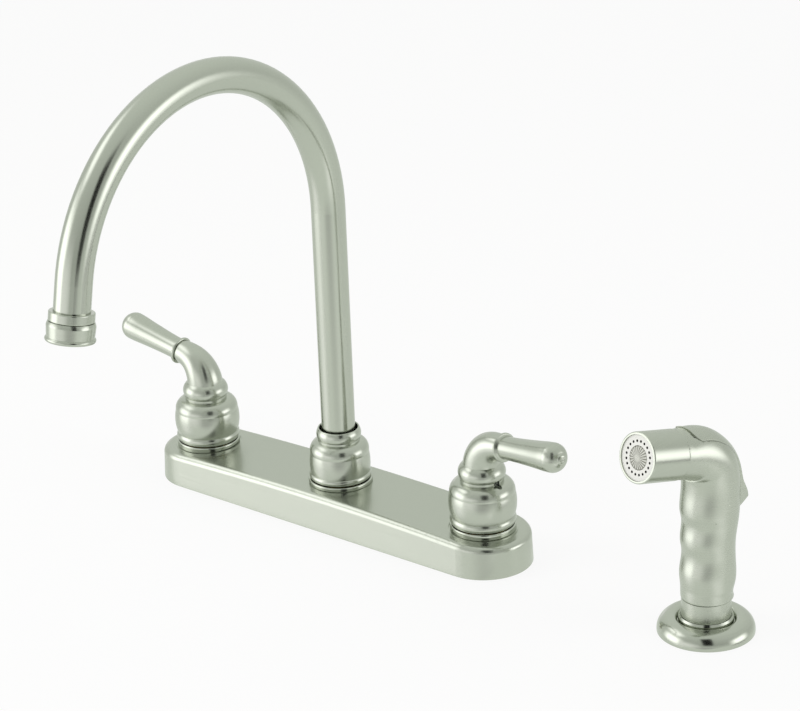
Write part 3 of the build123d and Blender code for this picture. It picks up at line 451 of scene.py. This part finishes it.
def show_surface(tree, sockets):
    """Ends a tree with the shader of a piece."""
    show(tree, add_node(tree, "ShaderNodeBsdfPrincipled", sockets).outputs["BSDF"])


def new_finish(name):
    """An empty material and its tree of nodes."""
    material = bpy.data.materials.new(name)
    material.use_nodes = True
    material.node_tree.nodes.clear()
    return material, material.node_tree


# ---------- finishes ----------


def satin_nickel(
    name, stretch, gap=0.5, turn=(0, 0, 0), axis=None, centre=(0, 0, 0), shine=0.0
):
    """Nickel plate brushed with a fine wheel: soft highlights, spread across the brush lines.

    The lines of the real plate are about 0.1 mm apart, too fine to show, so they are drawn gap
    millimetres apart and stretched along their run. turn lays their run on the piece.
    Lines run round the axis through the centre, or along X where a piece has no axis.
    """
    finish = bpy.context.scene.faucet_finish
    material, tree = new_finish(name)
    place = object_place(tree)
    lines = add_node(
        tree, "ShaderNodeMapping", {"Vector": place, "Rotation": turn, "Scale": stretch}
    )
    brush = noise(tree, lines.outputs["Vector"], gap, 3.0, 0.6)
    cloud = noise(tree, place, 28, 2.0)
    rough = finish.satin - shine
    grain = ranged(tree, brush, rough - 0.012, rough + 0.012)
    haze = ranged(tree, cloud, -0.015, 0.015)
    tone = ranged(tree, brush, 0.975, 1.02, 0.25, 0.75)
    run = (1, 0, 0)
    if axis:
        spoke = calc_vector(tree, "SUBTRACT", place, centre)
        run = calc_vector(tree, "CROSS_PRODUCT", axis, spoke)
    run = add_node(
        tree,
        "ShaderNodeVectorTransform",
        {"Vector": run},
        vector_type="VECTOR",
        convert_from="OBJECT",
        convert_to="WORLD",
    )
    normal = add_node(tree, "ShaderNodeNewGeometry").outputs["Normal"]
    show_surface(
        tree,
        {
            "Base Color": tinted(tree, finish.plating, tone),
            "Roughness": calc(tree, "ADD", grain, haze),
            "Normal": bumped(tree, brush, 0.004, 0.00002),
            "Tangent": calc_vector(tree, "CROSS_PRODUCT", normal, run.outputs["Vector"]),
            "Metallic": 1.0,
            "Anisotropic": 0.5,
        },
    )
    return material


def polished_nickel():
    """Nickel plate left mirror bright: crisp reflections, only faint polishing haze."""
    finish = bpy.context.scene.faucet_finish
    material, tree = new_finish("polished_nickel_plate")
    haze = noise(tree, object_place(tree), 6, 4.0)
    show_surface(
        tree,
        {
            "Base Color": opaque(finish.plating),
            "Roughness": ranged(tree, haze, finish.polish - 0.03, finish.polish + 0.04),
            "Metallic": 1.0,
        },
    )
    return material


def turned_brass(name, thread=0.0, centre=(0, 0)):
    """Free-cutting brass off a lathe: warm, with fine feed rings and, on a shank, its thread.

    The feed rings are drawn 0.4 mm apart, twice their real distance, so that they show.
    A thread is a helical ridge of that pitch in millimetres round the centre.
    """
    finish = bpy.context.scene.faucet_finish
    material, tree = new_finish(name)
    place = object_place(tree)
    stain = noise(tree, place, 9, 4.0)
    warm = ranged(tree, stain, 0.88, 1.04)
    centred = add_node(
        tree, "ShaderNodeMapping", {"Vector": place, "Location": (-centre[0], -centre[1], 0)}
    )
    spot = split_place(tree, centred.outputs["Vector"])
    if thread:
        angle = calc(tree, "ARCTAN2", spot["Y"], spot["X"])
        lead = calc(tree, "MULTIPLY", angle, 1 / math.tau)
        climb = calc(tree, "MULTIPLY_ADD", spot["Z"], 1000 / thread, lead)
        height = calc(tree, "PINGPONG", climb, 0.5)
        depth = thread / 2000
    else:
        height = calc(tree, "SINE", calc(tree, "MULTIPLY", spot["Z"], math.tau / 0.0004))
        depth = 0.00001
    show_surface(
        tree,
        {
            "Base Color": tinted(tree, finish.brass, warm),
            "Roughness": ranged(tree, stain, 0.22, 0.38),
            "Normal": bumped(tree, height, 0.7, depth),
            "Metallic": 1.0,
        },
    )
    return material


def drawn_steel():
    """Stainless wire and stamped steel: grey, with draw marks half a millimetre apart."""
    material, tree = new_finish("drawn_stainless_steel")
    marks = noise(tree, object_place(tree), 0.5, 3.0)
    show_surface(
        tree,
        {
            "Base Color": opaque(linear("#B9BBBC")),
            "Roughness": ranged(tree, marks, 0.22, 0.36),
            "Normal": bumped(tree, marks, 0.2, 0.00002),
            "Metallic": 1.0,
        },
    )
    return material


def moulded(name, colour, gloss, grain, depth, mottle=0.04, ior=1.5, shaded=None):
    """A moulded or fired piece: its colour a little mottled, its skin grained grain mm apart.

    shaded is a function of the tree and the mottled colour, which gives the colour to show.
    """
    material, tree = new_finish(name)
    place = object_place(tree)
    flow = noise(tree, place, 7, 3.0)
    skin = noise(tree, place, grain, 2.0)
    colour = tinted(tree, colour, ranged(tree, flow, 1 - mottle, 1 + mottle / 2))
    show_surface(
        tree,
        {
            "Base Color": shaded(tree, colour) if shaded else colour,
            "Roughness": ranged(tree, skin, gloss * 0.85, gloss * 1.15),
            "Normal": bumped(tree, skin, 0.3, depth / 1000),
            "IOR": ior,
        },
    )
    return material


def white_acetal(name, shaded=None):
    """Acetal as it is moulded for a wet place: bright white with a waxy gloss."""
    face = bpy.context.scene.faucet_finish.face
    return moulded(name, face, 0.16, 0.8, 0.004, mottle=0.015, ior=1.48, shaded=shaded)


def dress(names, material):
    """Gives CAD nodes their finish."""
    for name in names:
        mesh = nodes[name].data
        mesh.materials.clear()
        mesh.materials.append(material)


def of_sides(*names):
    """The hot and the cold node of each name."""
    return [f"{side}_{name}" for side in SIDES for name in names]


# ---------- meshes ----------


def merged_copy(name, place=Matrix.Identity(4), gap=1e-6):
    """A bmesh of a copy of a CAD node's mesh, put in a place and merged."""
    source = nodes[name]
    form = bmesh.new()
    form.from_mesh(source.data)
    bmesh.ops.transform(form, matrix=place @ source.matrix_world, verts=form.verts)
    bmesh.ops.remove_doubles(form, verts=form.verts, dist=gap)
    return form


def object_from(form, name, material):
    """Makes an object of a bmesh."""
    mesh = bpy.data.meshes.new(name)
    form.to_mesh(mesh)
    form.free()
    mesh.materials.append(material)
    made = bpy.data.objects.new(name, mesh)
    bpy.context.collection.objects.link(made)
    return made


def piece_from(form, name, body, material, place=Matrix.Identity(4)):
    """Makes a finished piece of a bmesh, set in its place, riding its body."""
    bmesh.ops.transform(form, matrix=place, verts=form.verts)
    bmesh.ops.recalc_face_normals(form, faces=form.faces)
    piece = object_from(form, name, material)
    for face in piece.data.polygons:
        face.use_smooth = True
    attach(piece, body)
    return piece


def smooth_curve(points, steps):
    """A Catmull-Rom line through rows of numbers, each with its length along the line first."""
    rows = []
    for i in range(len(points) - 1):
        before, here, after, beyond = (
            points[max(0, min(len(points) - 1, i + k))] for k in (-1, 0, 1, 2)
        )
        gap = after[0] - here[0]
        for step in range(steps):
            t = step / steps
            row = [here[0] + gap * t]
            for a, b, c, d in zip(before[1:], here[1:], after[1:], beyond[1:]):
                out = (c - a) / max(after[0] - before[0], 1e-9) * gap
                back = (d - b) / max(beyond[0] - here[0], 1e-9) * gap
                row.append(
                    b * (2 * t**3 - 3 * t**2 + 1)
                    + out * (t**3 - 2 * t**2 + t)
                    + c * (3 * t**2 - 2 * t**3)
                    + back * (t**3 - t**2)
                )
            rows.append(row)
    rows.append(list(points[-1]))
    return rows


def grip_wave(height):
    """How far the outline of the grip stands off its plain skin at a height, in millimetres."""
    for (low, first), (high, second) in zip(GRIP_WAVES, GRIP_WAVES[1:]):
        if low <= height <= high:
            share = 0.5 - 0.5 * math.cos(math.pi * (height - low) / (high - low))
            return first + (second - first) * share
    return 0.0


def sprayer_rows():
    """The circles of the sprayer's skin: length along it, place, direction back, and radius."""
    lean = math.radians(90) - HEAD_PITCH
    tangent = BEND_RADIUS * math.tan(lean / 2)
    bend_start = HEAD_CROSSING * 1000 - tangent
    rows = [(height, -shift, height, -1.0, 0.0, size) for height, size, shift in GRIP_SECTIONS]
    for angle, size, shift in BEND_SECTIONS:
        turn = math.radians(angle)
        back = (-math.cos(turn), math.sin(turn))
        ahead = BEND_RADIUS + (BEND_RADIUS + shift) * back[0]
        rise = bend_start + (BEND_RADIUS + shift) * back[1]
        rows.append((bend_start + BEND_RADIUS * turn, ahead, rise, *back, size))
    back = (-math.cos(lean), math.sin(lean))
    for along, size, shift in HEAD_SECTIONS:
        ahead = along * back[1] + shift * back[0]
        rise = HEAD_CROSSING * 1000 - along * back[0] + shift * back[1]
        length = bend_start + BEND_RADIUS * lean + along - tangent
        rows.append((length, ahead, rise, *back, size))
    return rows


def sprayer_skin(depth, wrap):
    """The skin of the grip with its finger waves, as a net of points to lay a surface on."""
    points = []
    for length, ahead, rise, back_ahead, back_rise, size in smooth_curve(
        sprayer_rows(), SKIN_STEPS
    ):
        wave = grip_wave(length) * depth / OUTLINE_FADE
        for k in range(SKIN_SIDES):
            turn = math.tau * k / SKIN_SIDES
            away = abs(math.pi - turn)
            fade = math.cos(min(away / wrap, 1.0) * math.pi / 2) ** 2
            reach = size + wave * fade
            back = reach * math.cos(turn)
            points.append(
                (ahead + back * back_ahead, reach * math.sin(turn), rise + back * back_rise)
            )
    faces = []
    for start in range(0, len(points) - SKIN_SIDES, SKIN_SIDES):
        for k in range(SKIN_SIDES):
            after = (k + 1) % SKIN_SIDES
            above = start + SKIN_SIDES
            faces.append((start + k, start + after, above + after, above + k))
    return BVHTree.FromPolygons(points, faces)


# ---------- operators ----------


class FAUCET_OT_plating(bpy.types.Operator):
    """Plate the deck cover, the bells, the levers, the spout and the sprayer."""

    bl_idname = "faucet.plating"
    bl_label = "Nickel Plating"

    def execute(self, context):
        for side in SIDES:
            self.plate_handle(side)
        self.plate_spout()
        self.plate_sprayer()
        dress(["deck_plate"], satin_nickel("satin_nickel_cover", ALONG_COVER, 0.6))
        dress(of_sides("base_ring") + ["spout_base_ring"], polished_nickel())
        return {"FINISHED"}

    def plate_handle(self, side):
        """Brushed level round the bell, and along the lever."""
        centre = (SIDES[side], 0, 0)
        bell = satin_nickel(f"satin_nickel_{side}_bell", ROUND_Z, axis=UPRIGHT, centre=centre)
        dress([f"{side}_handle"], bell)
        turn = LEVER_TURNS[side]
        out = bearing(turn, LEVER_PITCH)
        low, high = (Vector(corner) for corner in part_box(f"{side}_lever"))
        middle = (low + high) / 2
        # Where the lever's axis would meet the axis of its bell.
        height = middle.z - (middle.x - SIDES[side]) / out.x * out.z
        lever = satin_nickel(
            f"satin_nickel_{side}_lever",
            ALONG_LEVER,
            turn=(0, LEVER_PITCH, -turn),
            axis=tuple(out),
            centre=(SIDES[side], 0, height),
        )
        dress([f"{side}_lever"], lever)

    def plate_spout(self):
        """Brushed level round the bell and round the outlet, and polished finer on the tube."""
        dress(["spout_bell"], satin_nickel("satin_nickel_spout_bell", ROUND_Z, axis=UPRIGHT))
        tube = satin_nickel("satin_nickel_tube", EVEN, 0.4, axis=UPRIGHT, shine=0.04)
        dress(["spout_tube"], tube)
        low, high = (Vector(corner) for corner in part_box("aerator_housing"))
        outlet = satin_nickel(
            "satin_nickel_outlet",
            ROUND_Z,
            turn=(OUTLET_TILT, 0, 0),
            axis=(0, math.sin(OUTLET_TILT), math.cos(OUTLET_TILT)),
            centre=tuple((low + high) / 2),
        )
        dress(["spout_collar", "aerator_housing"], outlet)

    def plate_sprayer(self):
        """Brushed level round the holder and the grip, and round the axis of the head."""
        foot = (SPRAY_X, 0, 0)
        flange = satin_nickel(
            "satin_nickel_flange", ROUND_Z, axis=UPRIGHT, centre=foot, shine=0.06
        )
        dress(["holder_flange", "holder_guide"], flange)
        grip = satin_nickel("satin_nickel_grip", ROUND_Z, axis=UPRIGHT, centre=foot, shine=-0.03)
        dress(["sprayer_body", "sprayer_end_cap", "spray_lever"], grip)
        head = satin_nickel(
            "satin_nickel_head",
            ROUND_Z,
            turn=(0, math.radians(90) - HEAD_PITCH, 0),
            axis=tuple(bearing(SPRAY_TURN, HEAD_PITCH)),
            centre=(SPRAY_X, 0, HEAD_CROSSING),
            shine=-0.01,
        )
        dress(["spray_head_sleeve"], head)


class FAUCET_OT_valves(bpy.types.Operator):
    """Finish the brass, ceramic, rubber and steel pieces of the valves."""

    bl_idname = "faucet.valves"
    bl_label = "Valve Pieces"

    def execute(self, context):
        brass = turned_brass("turned_brass")
        dress(of_sides("crossover_tube", "stem", "bonnet_nut"), brass)
        dress(["spout_hub", "diverter_cage", "diverter_poppet", "spout_sleeve"], brass)
        dress(["spray_valve_stem"], brass)
        for side, middle in SIDES.items():
            shank = turned_brass(f"threaded_brass_{side}", SHANK_PITCH, (middle, 0))
            dress([f"{side}_valve_body"], shank)
        dress(["hose_nipple"], turned_brass("threaded_brass_nipple", NIPPLE_PITCH))
        dress(["shank_lock_nuts"], turned_brass("cast_brass_nuts"))
        steel = drawn_steel()
        dress(of_sides("handle_screw"), steel)
        dress(["diverter_spring", "spray_valve_spring", "spray_lever_pin"], steel)
        dress(["shank_washers"], steel)
        # Lapped alumina: cream white, hard and glossy.
        cream = linear("#EFEDE4")
        ceramic = moulded("alumina_ceramic", cream, 0.18, 0.4, 0.004, ior=1.76)
        dress(of_sides("fixed_disc", "moving_disc"), ceramic)
        # Nitrile rubber: black, matt, a little dusty.
        black = linear("#1C1C1D")
        rubber = moulded("nitrile_rubber", black, 0.6, 0.5, 0.02, mottle=0.2, ior=1.52)
        dress(of_sides("seat_seal") + ["spout_o_rings", "aerator_washer"], rubber)
        return {"FINISHED"}


class FAUCET_OT_springs(bpy.types.Operator):
    """Put copies of the springs, each riding its body, in place of the ones in the model. Put
    springs that give way in place of the stiff ones, to keep clear of what they press.
    """

    bl_idname = "faucet.springs"
    bl_label = "Springs"

    def execute(self, context):
        level = bearing(SPRAY_TURN, 0)
        for name, body, joint, run, travel in (
            ("diverter_spring", "deck_set", "diverter_slide", Vector((0, 0, -1)), DIVERTER_TRAVEL),
            ("spray_valve_spring", "sprayer", "spray_valve_slide", level, VALVE_TRAVEL),
        ):
            form = merged_copy(name)
            material = nodes[name].data.materials[0]
            coil = piece_from(form, f"sprung_{name}", body, material)
            coil.data.set_sharp_from_angle(angle=SHARP)
            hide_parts(name)
            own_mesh(coil)
        return {"FINISHED"}


class FAUCET_OT_plastics(bpy.types.Operator):
    """Finish the moulded plastic pieces."""

    bl_idname = "faucet.plastics"
    bl_label = "Moulded Pieces"

    def execute(self, context):
        dress(["spout_slip_ring", "aerator_insert"], white_acetal("white_acetal"))
        dress(["spray_face"], white_acetal("white_acetal_face", self.shade_jets))
        # Glass-filled nylon: dark grey with a fine spark-eroded grain.
        grey = linear("#3A3B3D")
        dark = moulded("black_nylon", grey, 0.42, 0.35, 0.02, mottle=0.1)
        dress(of_sides("cartridge") + ["base_pad", "hose_coupling"], dark)
        dress(["spray_valve_bonnet", "holder_nut"], dark)
        return {"FINISHED"}

    def shade_jets(self, tree, white):
        """The shade inside the bores of the jets, which little light reaches."""
        across, up = head_spot(tree)
        # Folds the ring of jets onto one jet.
        angle = calc(tree, "PINGPONG", calc(tree, "ARCTAN2", up, across), math.pi / JETS)
        sideways = calc(tree, "MULTIPLY", angle, JET_CIRCLE)
        outward = calc(tree, "SUBTRACT", distance(tree, across, up), JET_CIRCLE)
        reach = distance(tree, sideways, outward)
        clear = ranged(tree, reach, 0.0, 1.0, JET_RADIUS * 1.02, JET_RADIUS * 1.12)
        return mixed(tree, clear, opaque(linear("#2A251E")), white)


class FAUCET_OT_grip(bpy.types.Operator):
    """Round the finger grooves of the sprayer's grip into waves that fade round its sides."""

    bl_idname = "faucet.grip"
    bl_label = "Finger Grip"

    def execute(self, context):
        settings = context.scene.faucet_grip
        # Into the sprayer's own side view: ahead, across and up, in millimetres.
        side_view = (
            Matrix.Scale(1000, 4)
            @ Matrix.Rotation(-SPRAY_TURN, 4, "Z")
            @ Matrix.Translation((-SPRAY_X, 0, 0))
        )
        form = merged_copy("sprayer_body", side_view, 0.001)
        for length in GRIP_EDGES:
            long_edges = [
                edge
                for edge in form.edges
                if edge.calc_length() > length
                and all(self.inset(vert.co) > 0 for vert in edge.verts)
            ]
            bmesh.ops.subdivide_edges(form, edges=long_edges, cuts=1)
            bmesh.ops.triangulate(form, faces=[face for face in form.faces if len(face.verts) > 3])
        skin = sprayer_skin(settings.depth, settings.wrap)
        for vert in form.verts:
            inset = self.inset(vert.co)
            spot = skin.find_nearest(vert.co, GRIP_SHIFT)[0] if inset > 0 else None
            if spot is not None:
                share = min(1.0, inset)
                vert.co = vert.co.lerp(spot, share * share * (3 - 2 * share))
        bmesh.ops.dissolve_degenerate(form, edges=form.edges, dist=0.01)
        material = nodes["sprayer_body"].data.materials[0]
        body = piece_from(
            form, "gripped_body", "sprayer", material, side_view.inverted()
        )
        body.data.set_sharp_from_angle(angle=SHARP)
        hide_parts("sprayer_body")
        return {"FINISHED"}

    def inset(self, place):
        """How far a point lies in from the edge of the grip, whose fade is one wide, or nought."""
        if math.hypot(place.x, place.y) <= GRIP_CORE:
            return 0.0
        off_front = abs(math.atan2(place.y, place.x))
        return min(
            (GRIP_HALF - off_front) / SIDE_FADE,
            (place.z - GRIP_FOOT) / FOOT_FADE,
            (GRIP_TOP - place.z) / TOP_FADE,
        )


class FAUCET_OT_rose(bpy.types.Operator):
    """Build the ribbed button in the middle of the spray face."""

    bl_idname = "faucet.rose"
    bl_label = "Spray Rose"

    def execute(self, context):
        settings = context.scene.faucet_rose
        form = bmesh.new()
        # The outline of the button from its middle over the crown and down its side.
        outline = []
        for share in ROSE_RINGS:
            rise = settings.crown * (1 - share**2.6)
            outline.append(form.verts.new((settings.radius * share, 0, rise)))
        for rise in ROSE_SIDE:
            outline.append(form.verts.new((settings.radius, 0, rise)))
        edges = [form.edges.new(pair) for pair in zip(outline, outline[1:])]
        bmesh.ops.spin(
            form,
            geom=outline + edges,
            axis=UPRIGHT,
            cent=(0, 0, 0),
            angle=math.tau,
            steps=settings.ribs * 8,
            use_merge=True,
        )
        bmesh.ops.remove_doubles(form, verts=form.verts, dist=1e-6)
        # The flutes deepen from the middle, which stays plain, and leave the side alone.
        for vert in form.verts:
            reach = math.hypot(vert.co.x, vert.co.y) / settings.radius
            if vert.co.z < 0 or reach < ROSE_PLAIN:
                continue
            wave = 0.5 - 0.5 * math.cos(math.atan2(vert.co.y, vert.co.x) * settings.ribs)
            vert.co.z -= settings.flute * wave**1.6 * min(1.0, reach * 1.6)
        # Acetal in its natural colour: off-white, a little greyer than the face, and as waxy.
        pale = moulded(
            "natural_acetal",
            linear("#E6E7DE"),
            0.2,
            0.8,
            0.004,
            mottle=0.02,
            ior=1.48,
            shaded=self.shade_valleys,
        )
        place = head_plane(HEAD_LENGTH - ROSE_SUNK)
        rose = piece_from(form, "ribbed_rose", "sprayer", pale, place)
        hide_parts("spray_rose")
        dress(["spray_rose"], pale)
        return {"FINISHED"}

    def shade_valleys(self, tree, pale):
        """The shade at the bottoms of the flutes, which little light reaches."""
        across, up = head_spot(tree)
        ribs = bpy.context.scene.faucet_rose.ribs
        turns = calc(tree, "MULTIPLY", calc(tree, "ARCTAN2", up, across), ribs)
        valley = eased(tree, calc(tree, "COSINE", turns), 0.1, -0.9)
        outer = eased(tree, distance(tree, across, up), *ROSE_SHADE)
        shade = calc(tree, "MULTIPLY", valley, outer)
        return mixed(tree, shade, pale, opaque(linear("#8E8D82")))


class FAUCET_OT_stage(bpy.types.Operator):
    """Lay the floor, hang the light tent, the lamps and the white surround, and set the camera."""

    bl_idname = "faucet.stage"
    bl_label = "Studio"

    def execute(self, context):
        self.lay_floor()
        self.hang_tent()
        self.hang_screen()
        for panel in PANELS:
            self.hang_panel(*panel)
        self.set_surround(context.scene)
        self.set_lamps(context.scene.faucet_studio)
        self.set_camera(context.scene)
        return {"FINISHED"}

    def toward(self, away, rise):
        """The direction so many degrees to the right of the camera and above level."""
        return bearing(math.radians(VIEW_TURN + away - 90), math.radians(rise))

    def lay_floor(self):
        """A white sweep that keeps a faint shadow of the faucet."""
        form = bmesh.new()
        bmesh.ops.create_grid(form, x_segments=1, y_segments=1, size=STUDIO_REACH)
        material, tree = new_finish("white_paper")
        pale = opaque(linear("#F6F6F4"))
        matt = {"Base Color": pale, "Roughness": 0.9, "Specular IOR Level": 0.1}
        paper = add_node(tree, "ShaderNodeBsdfPrincipled", matt).outputs["BSDF"]
        share = calc(tree, "MULTIPLY", seen_directly(tree), FLOOR_GLOW)
        sockets = {0: share, 1: paper, 2: glowing(tree, WHITE, 1.0)}
        show(tree, add_node(tree, "ShaderNodeMixShader", sockets).outputs["Shader"])
        floor = object_from(form, "floor", material)
        floor.visible_glossy = False

    def hang(self, form, name, material):
        """Hangs a piece of the studio where only glossy surfaces see it."""
        material.cycles.emission_sampling = "NONE"
        piece = object_from(form, name, material)
        piece.visible_camera = False
        piece.visible_diffuse = False
        piece.visible_transmission = False
        piece.visible_shadow = False

    def hang_tent(self):
        """The dome of cloth round the faucet."""
        form = bmesh.new()
        bmesh.ops.create_icosphere(form, subdivisions=5, radius=STUDIO_REACH)
        material, tree = new_finish("tent_cloth")
        outward = calc_vector(tree, "NORMALIZE", object_place(tree))
        # Under the table it is a little brighter on the camera's side. Over it, it is darker on
        # the whole, and brighter behind the faucet and overhead.
        under, over = (
            calc(tree, "ADD", calc_vector(tree, "DOT_PRODUCT", outward, slope), level)
            for slope, level in (
                (self.toward(0, 0) * 0.06, 0.84),
                (self.toward(180, 0) * 0.12 + self.toward(0, 90) * 0.2, 0.6),
            )
        )
        strength = eased(tree, split_place(tree, outward)["Z"], -0.3, 0.2, under, over)
        show(tree, glowing(tree, opaque(linear(CLOTH)), strength))
        self.hang(form, "light_tent", material)

    def hang_screen(self):
        """A box that keeps the brass below the deck out of the reflections, as a deck would."""
        form = bmesh.new()
        bmesh.ops.create_cube(form, size=1.0)
        bmesh.ops.scale(form, vec=SCREEN_SIZE, verts=form.verts)
        bmesh.ops.translate(form, vec=SCREEN_PLACE, verts=form.verts)
        material, tree = new_finish("deck_screen")
        show(tree, glowing(tree, opaque(linear(CLOTH)), 0.85))
        self.hang(form, "deck_screen", material)

    def hang_panel(self, name, away, rise, width, height, tone, edge, metres):
        """A soft-edged panel that faces the faucet."""
        form = bmesh.new()
        bmesh.ops.create_grid(form, x_segments=2, y_segments=2, size=1.0, calc_uvs=False)
        layer = form.loops.layers.uv.new("UVMap")
        for face in form.faces:
            for loop in face.loops:
                loop[layer].uv = (0.5 + loop.vert.co.x / 2, 0.5 + loop.vert.co.y / 2)
        half_width, half_height = (
            metres * math.tan(math.radians(degrees / 2)) for degrees in (width, height)
        )
        bmesh.ops.scale(form, vec=(half_width, half_height, 1.0), verts=form.verts)
        outward = self.toward(away, rise)
        turn = outward.to_track_quat("Z", "Y").to_matrix().to_4x4()
        place = Matrix.Translation(PANEL_AIM + outward * metres)
        bmesh.ops.transform(form, matrix=place @ turn, verts=form.verts)
        material, tree = new_finish(name)
        spread = split_place(tree, add_node(tree, "ShaderNodeTexCoord").outputs["UV"])
        masks = [
            eased(tree, calc(tree, "PINGPONG", spread[axis], 0.5), 0.0, edge) for axis in "XY"
        ]
        sockets = {
            0: calc(tree, "MULTIPLY", *masks),
            1: add_node(tree, "ShaderNodeBsdfTransparent").outputs["BSDF"],
            2: glowing(tree, WHITE, tone),
        }
        show(tree, add_node(tree, "ShaderNodeMixShader", sockets).outputs["Shader"])
        self.hang(form, name, material)

    def set_surround(self, scene):
        """White for the camera, the metal and clear plastic, softer on matt surfaces."""
        world = bpy.data.worlds.new("surround")
        scene.world = world
        world.use_nodes = True
        tree = world.node_tree
        tree.nodes.clear()
        strength = ranged(tree, seen_directly(tree), scene.faucet_studio.surround, 1.0, 0.0, 1.0)
        sky = add_node(tree, "ShaderNodeBackground", {"Color": WHITE, "Strength": strength})
        show(tree, sky.outputs["Background"], "ShaderNodeOutputWorld")

    def set_lamps(self, studio):
        """A large soft lamp on the left of the camera and a smaller one on its right."""
        # Degrees right of the camera and above level, and width and height in metres.
        for name, power, away, rise, width, height in (
            ("key", studio.key, -82, 42, 0.55, 0.75),
            ("fill", studio.fill, 66, 40, 0.4, 0.6),
        ):
            lamp = bpy.data.lights.new(name, "AREA")
            lamp.shape = "RECTANGLE"
            lamp.size = width
            lamp.size_y = height
            lamp.energy = power
            outward = self.toward(away, rise)
            holder = bpy.data.objects.new(name, lamp)
            bpy.context.collection.objects.link(holder)
            holder.visible_glossy = False
            holder.location = LAMP_AIM + outward * LAMP_DISTANCE
            holder.rotation_euler = outward.to_track_quat("Z", "Y").to_euler()

    def set_camera(self, scene):
        """The camera stands where the photographer's stood."""
        back = self.toward(0, VIEW_RISE)
        level = self.toward(90, 0)
        above = back.cross(level)
        roll = math.radians(VIEW_ROLL)
        right = level * math.cos(roll) + above * math.sin(roll)
        up = above * math.cos(roll) - level * math.sin(roll)
        lens = bpy.data.cameras.new("camera")
        lens.lens = VIEW_LENS
        lens.sensor_width = SENSOR_WIDTH
        lens.clip_end = 20
        camera = bpy.data.objects.new("camera", lens)
        bpy.context.collection.objects.link(camera)
        place = back * VIEW_DISTANCE - right * VIEW_SHIFT[0] - up * VIEW_SHIFT[1]
        turn = Matrix((right, up, back)).transposed().to_4x4()
        camera.matrix_world = Matrix.Translation(place) @ turn
        scene.camera = camera
        scene.view_settings.view_transform = "Standard"


class FAUCET_PT_panel(bpy.types.Panel):
    """The faucet's finishes and pieces."""

    bl_label = "Side Spray Faucet"
    bl_idname = "FAUCET_PT_panel"
    bl_space_type = "VIEW_3D"
    bl_region_type = "UI"
    bl_category = "Faucet"

    def draw(self, context):
        scene = context.scene
        for settings, names, operators in (
            (scene.faucet_finish, ("plating", "satin", "polish"), (FAUCET_OT_plating,)),
            (scene.faucet_finish, ("brass",), (FAUCET_OT_valves, FAUCET_OT_springs)),
            (scene.faucet_finish, ("face",), (FAUCET_OT_plastics,)),
            (scene.faucet_grip, ("depth", "wrap"), (FAUCET_OT_grip,)),
            (scene.faucet_rose, ("ribs", "radius", "crown", "flute"), (FAUCET_OT_rose,)),
            (scene.faucet_studio, ("surround", "key", "fill"), (FAUCET_OT_stage,)),
        ):
            box = self.layout.box()
            for name in names:
                box.prop(settings, name)
            for kind in operators:
                box.operator(kind.bl_idname)


CLASSES = (
    FaucetFinish,
    FaucetRose,
    FaucetGrip,
    FaucetStudio,
    FAUCET_OT_plating,
    FAUCET_OT_valves,
    FAUCET_OT_springs,
    FAUCET_OT_plastics,
    FAUCET_OT_grip,
    FAUCET_OT_rose,
    FAUCET_OT_stage,
    FAUCET_PT_panel,
)


def register():
    for kind in CLASSES:
        bpy.utils.register_class(kind)
    bpy.types.Scene.faucet_finish = PointerProperty(type=FaucetFinish)
    bpy.types.Scene.faucet_rose = PointerProperty(type=FaucetRose)
    bpy.types.Scene.faucet_grip = PointerProperty(type=FaucetGrip)
    bpy.types.Scene.faucet_studio = PointerProperty(type=FaucetStudio)


def unregister():
    del bpy.types.Scene.faucet_studio
    del bpy.types.Scene.faucet_grip
    del bpy.types.Scene.faucet_rose
    del bpy.types.Scene.faucet_finish
    for kind in reversed(CLASSES):
        bpy.utils.unregister_class(kind)


def main():
    register()
    bpy.ops.faucet.plating()
    bpy.ops.faucet.valves()
    bpy.ops.faucet.springs()
    bpy.ops.faucet.plastics()
    bpy.ops.faucet.grip()
    bpy.ops.faucet.rose()
    bpy.ops.faucet.stage()


if __name__ == "__main__":
    main()
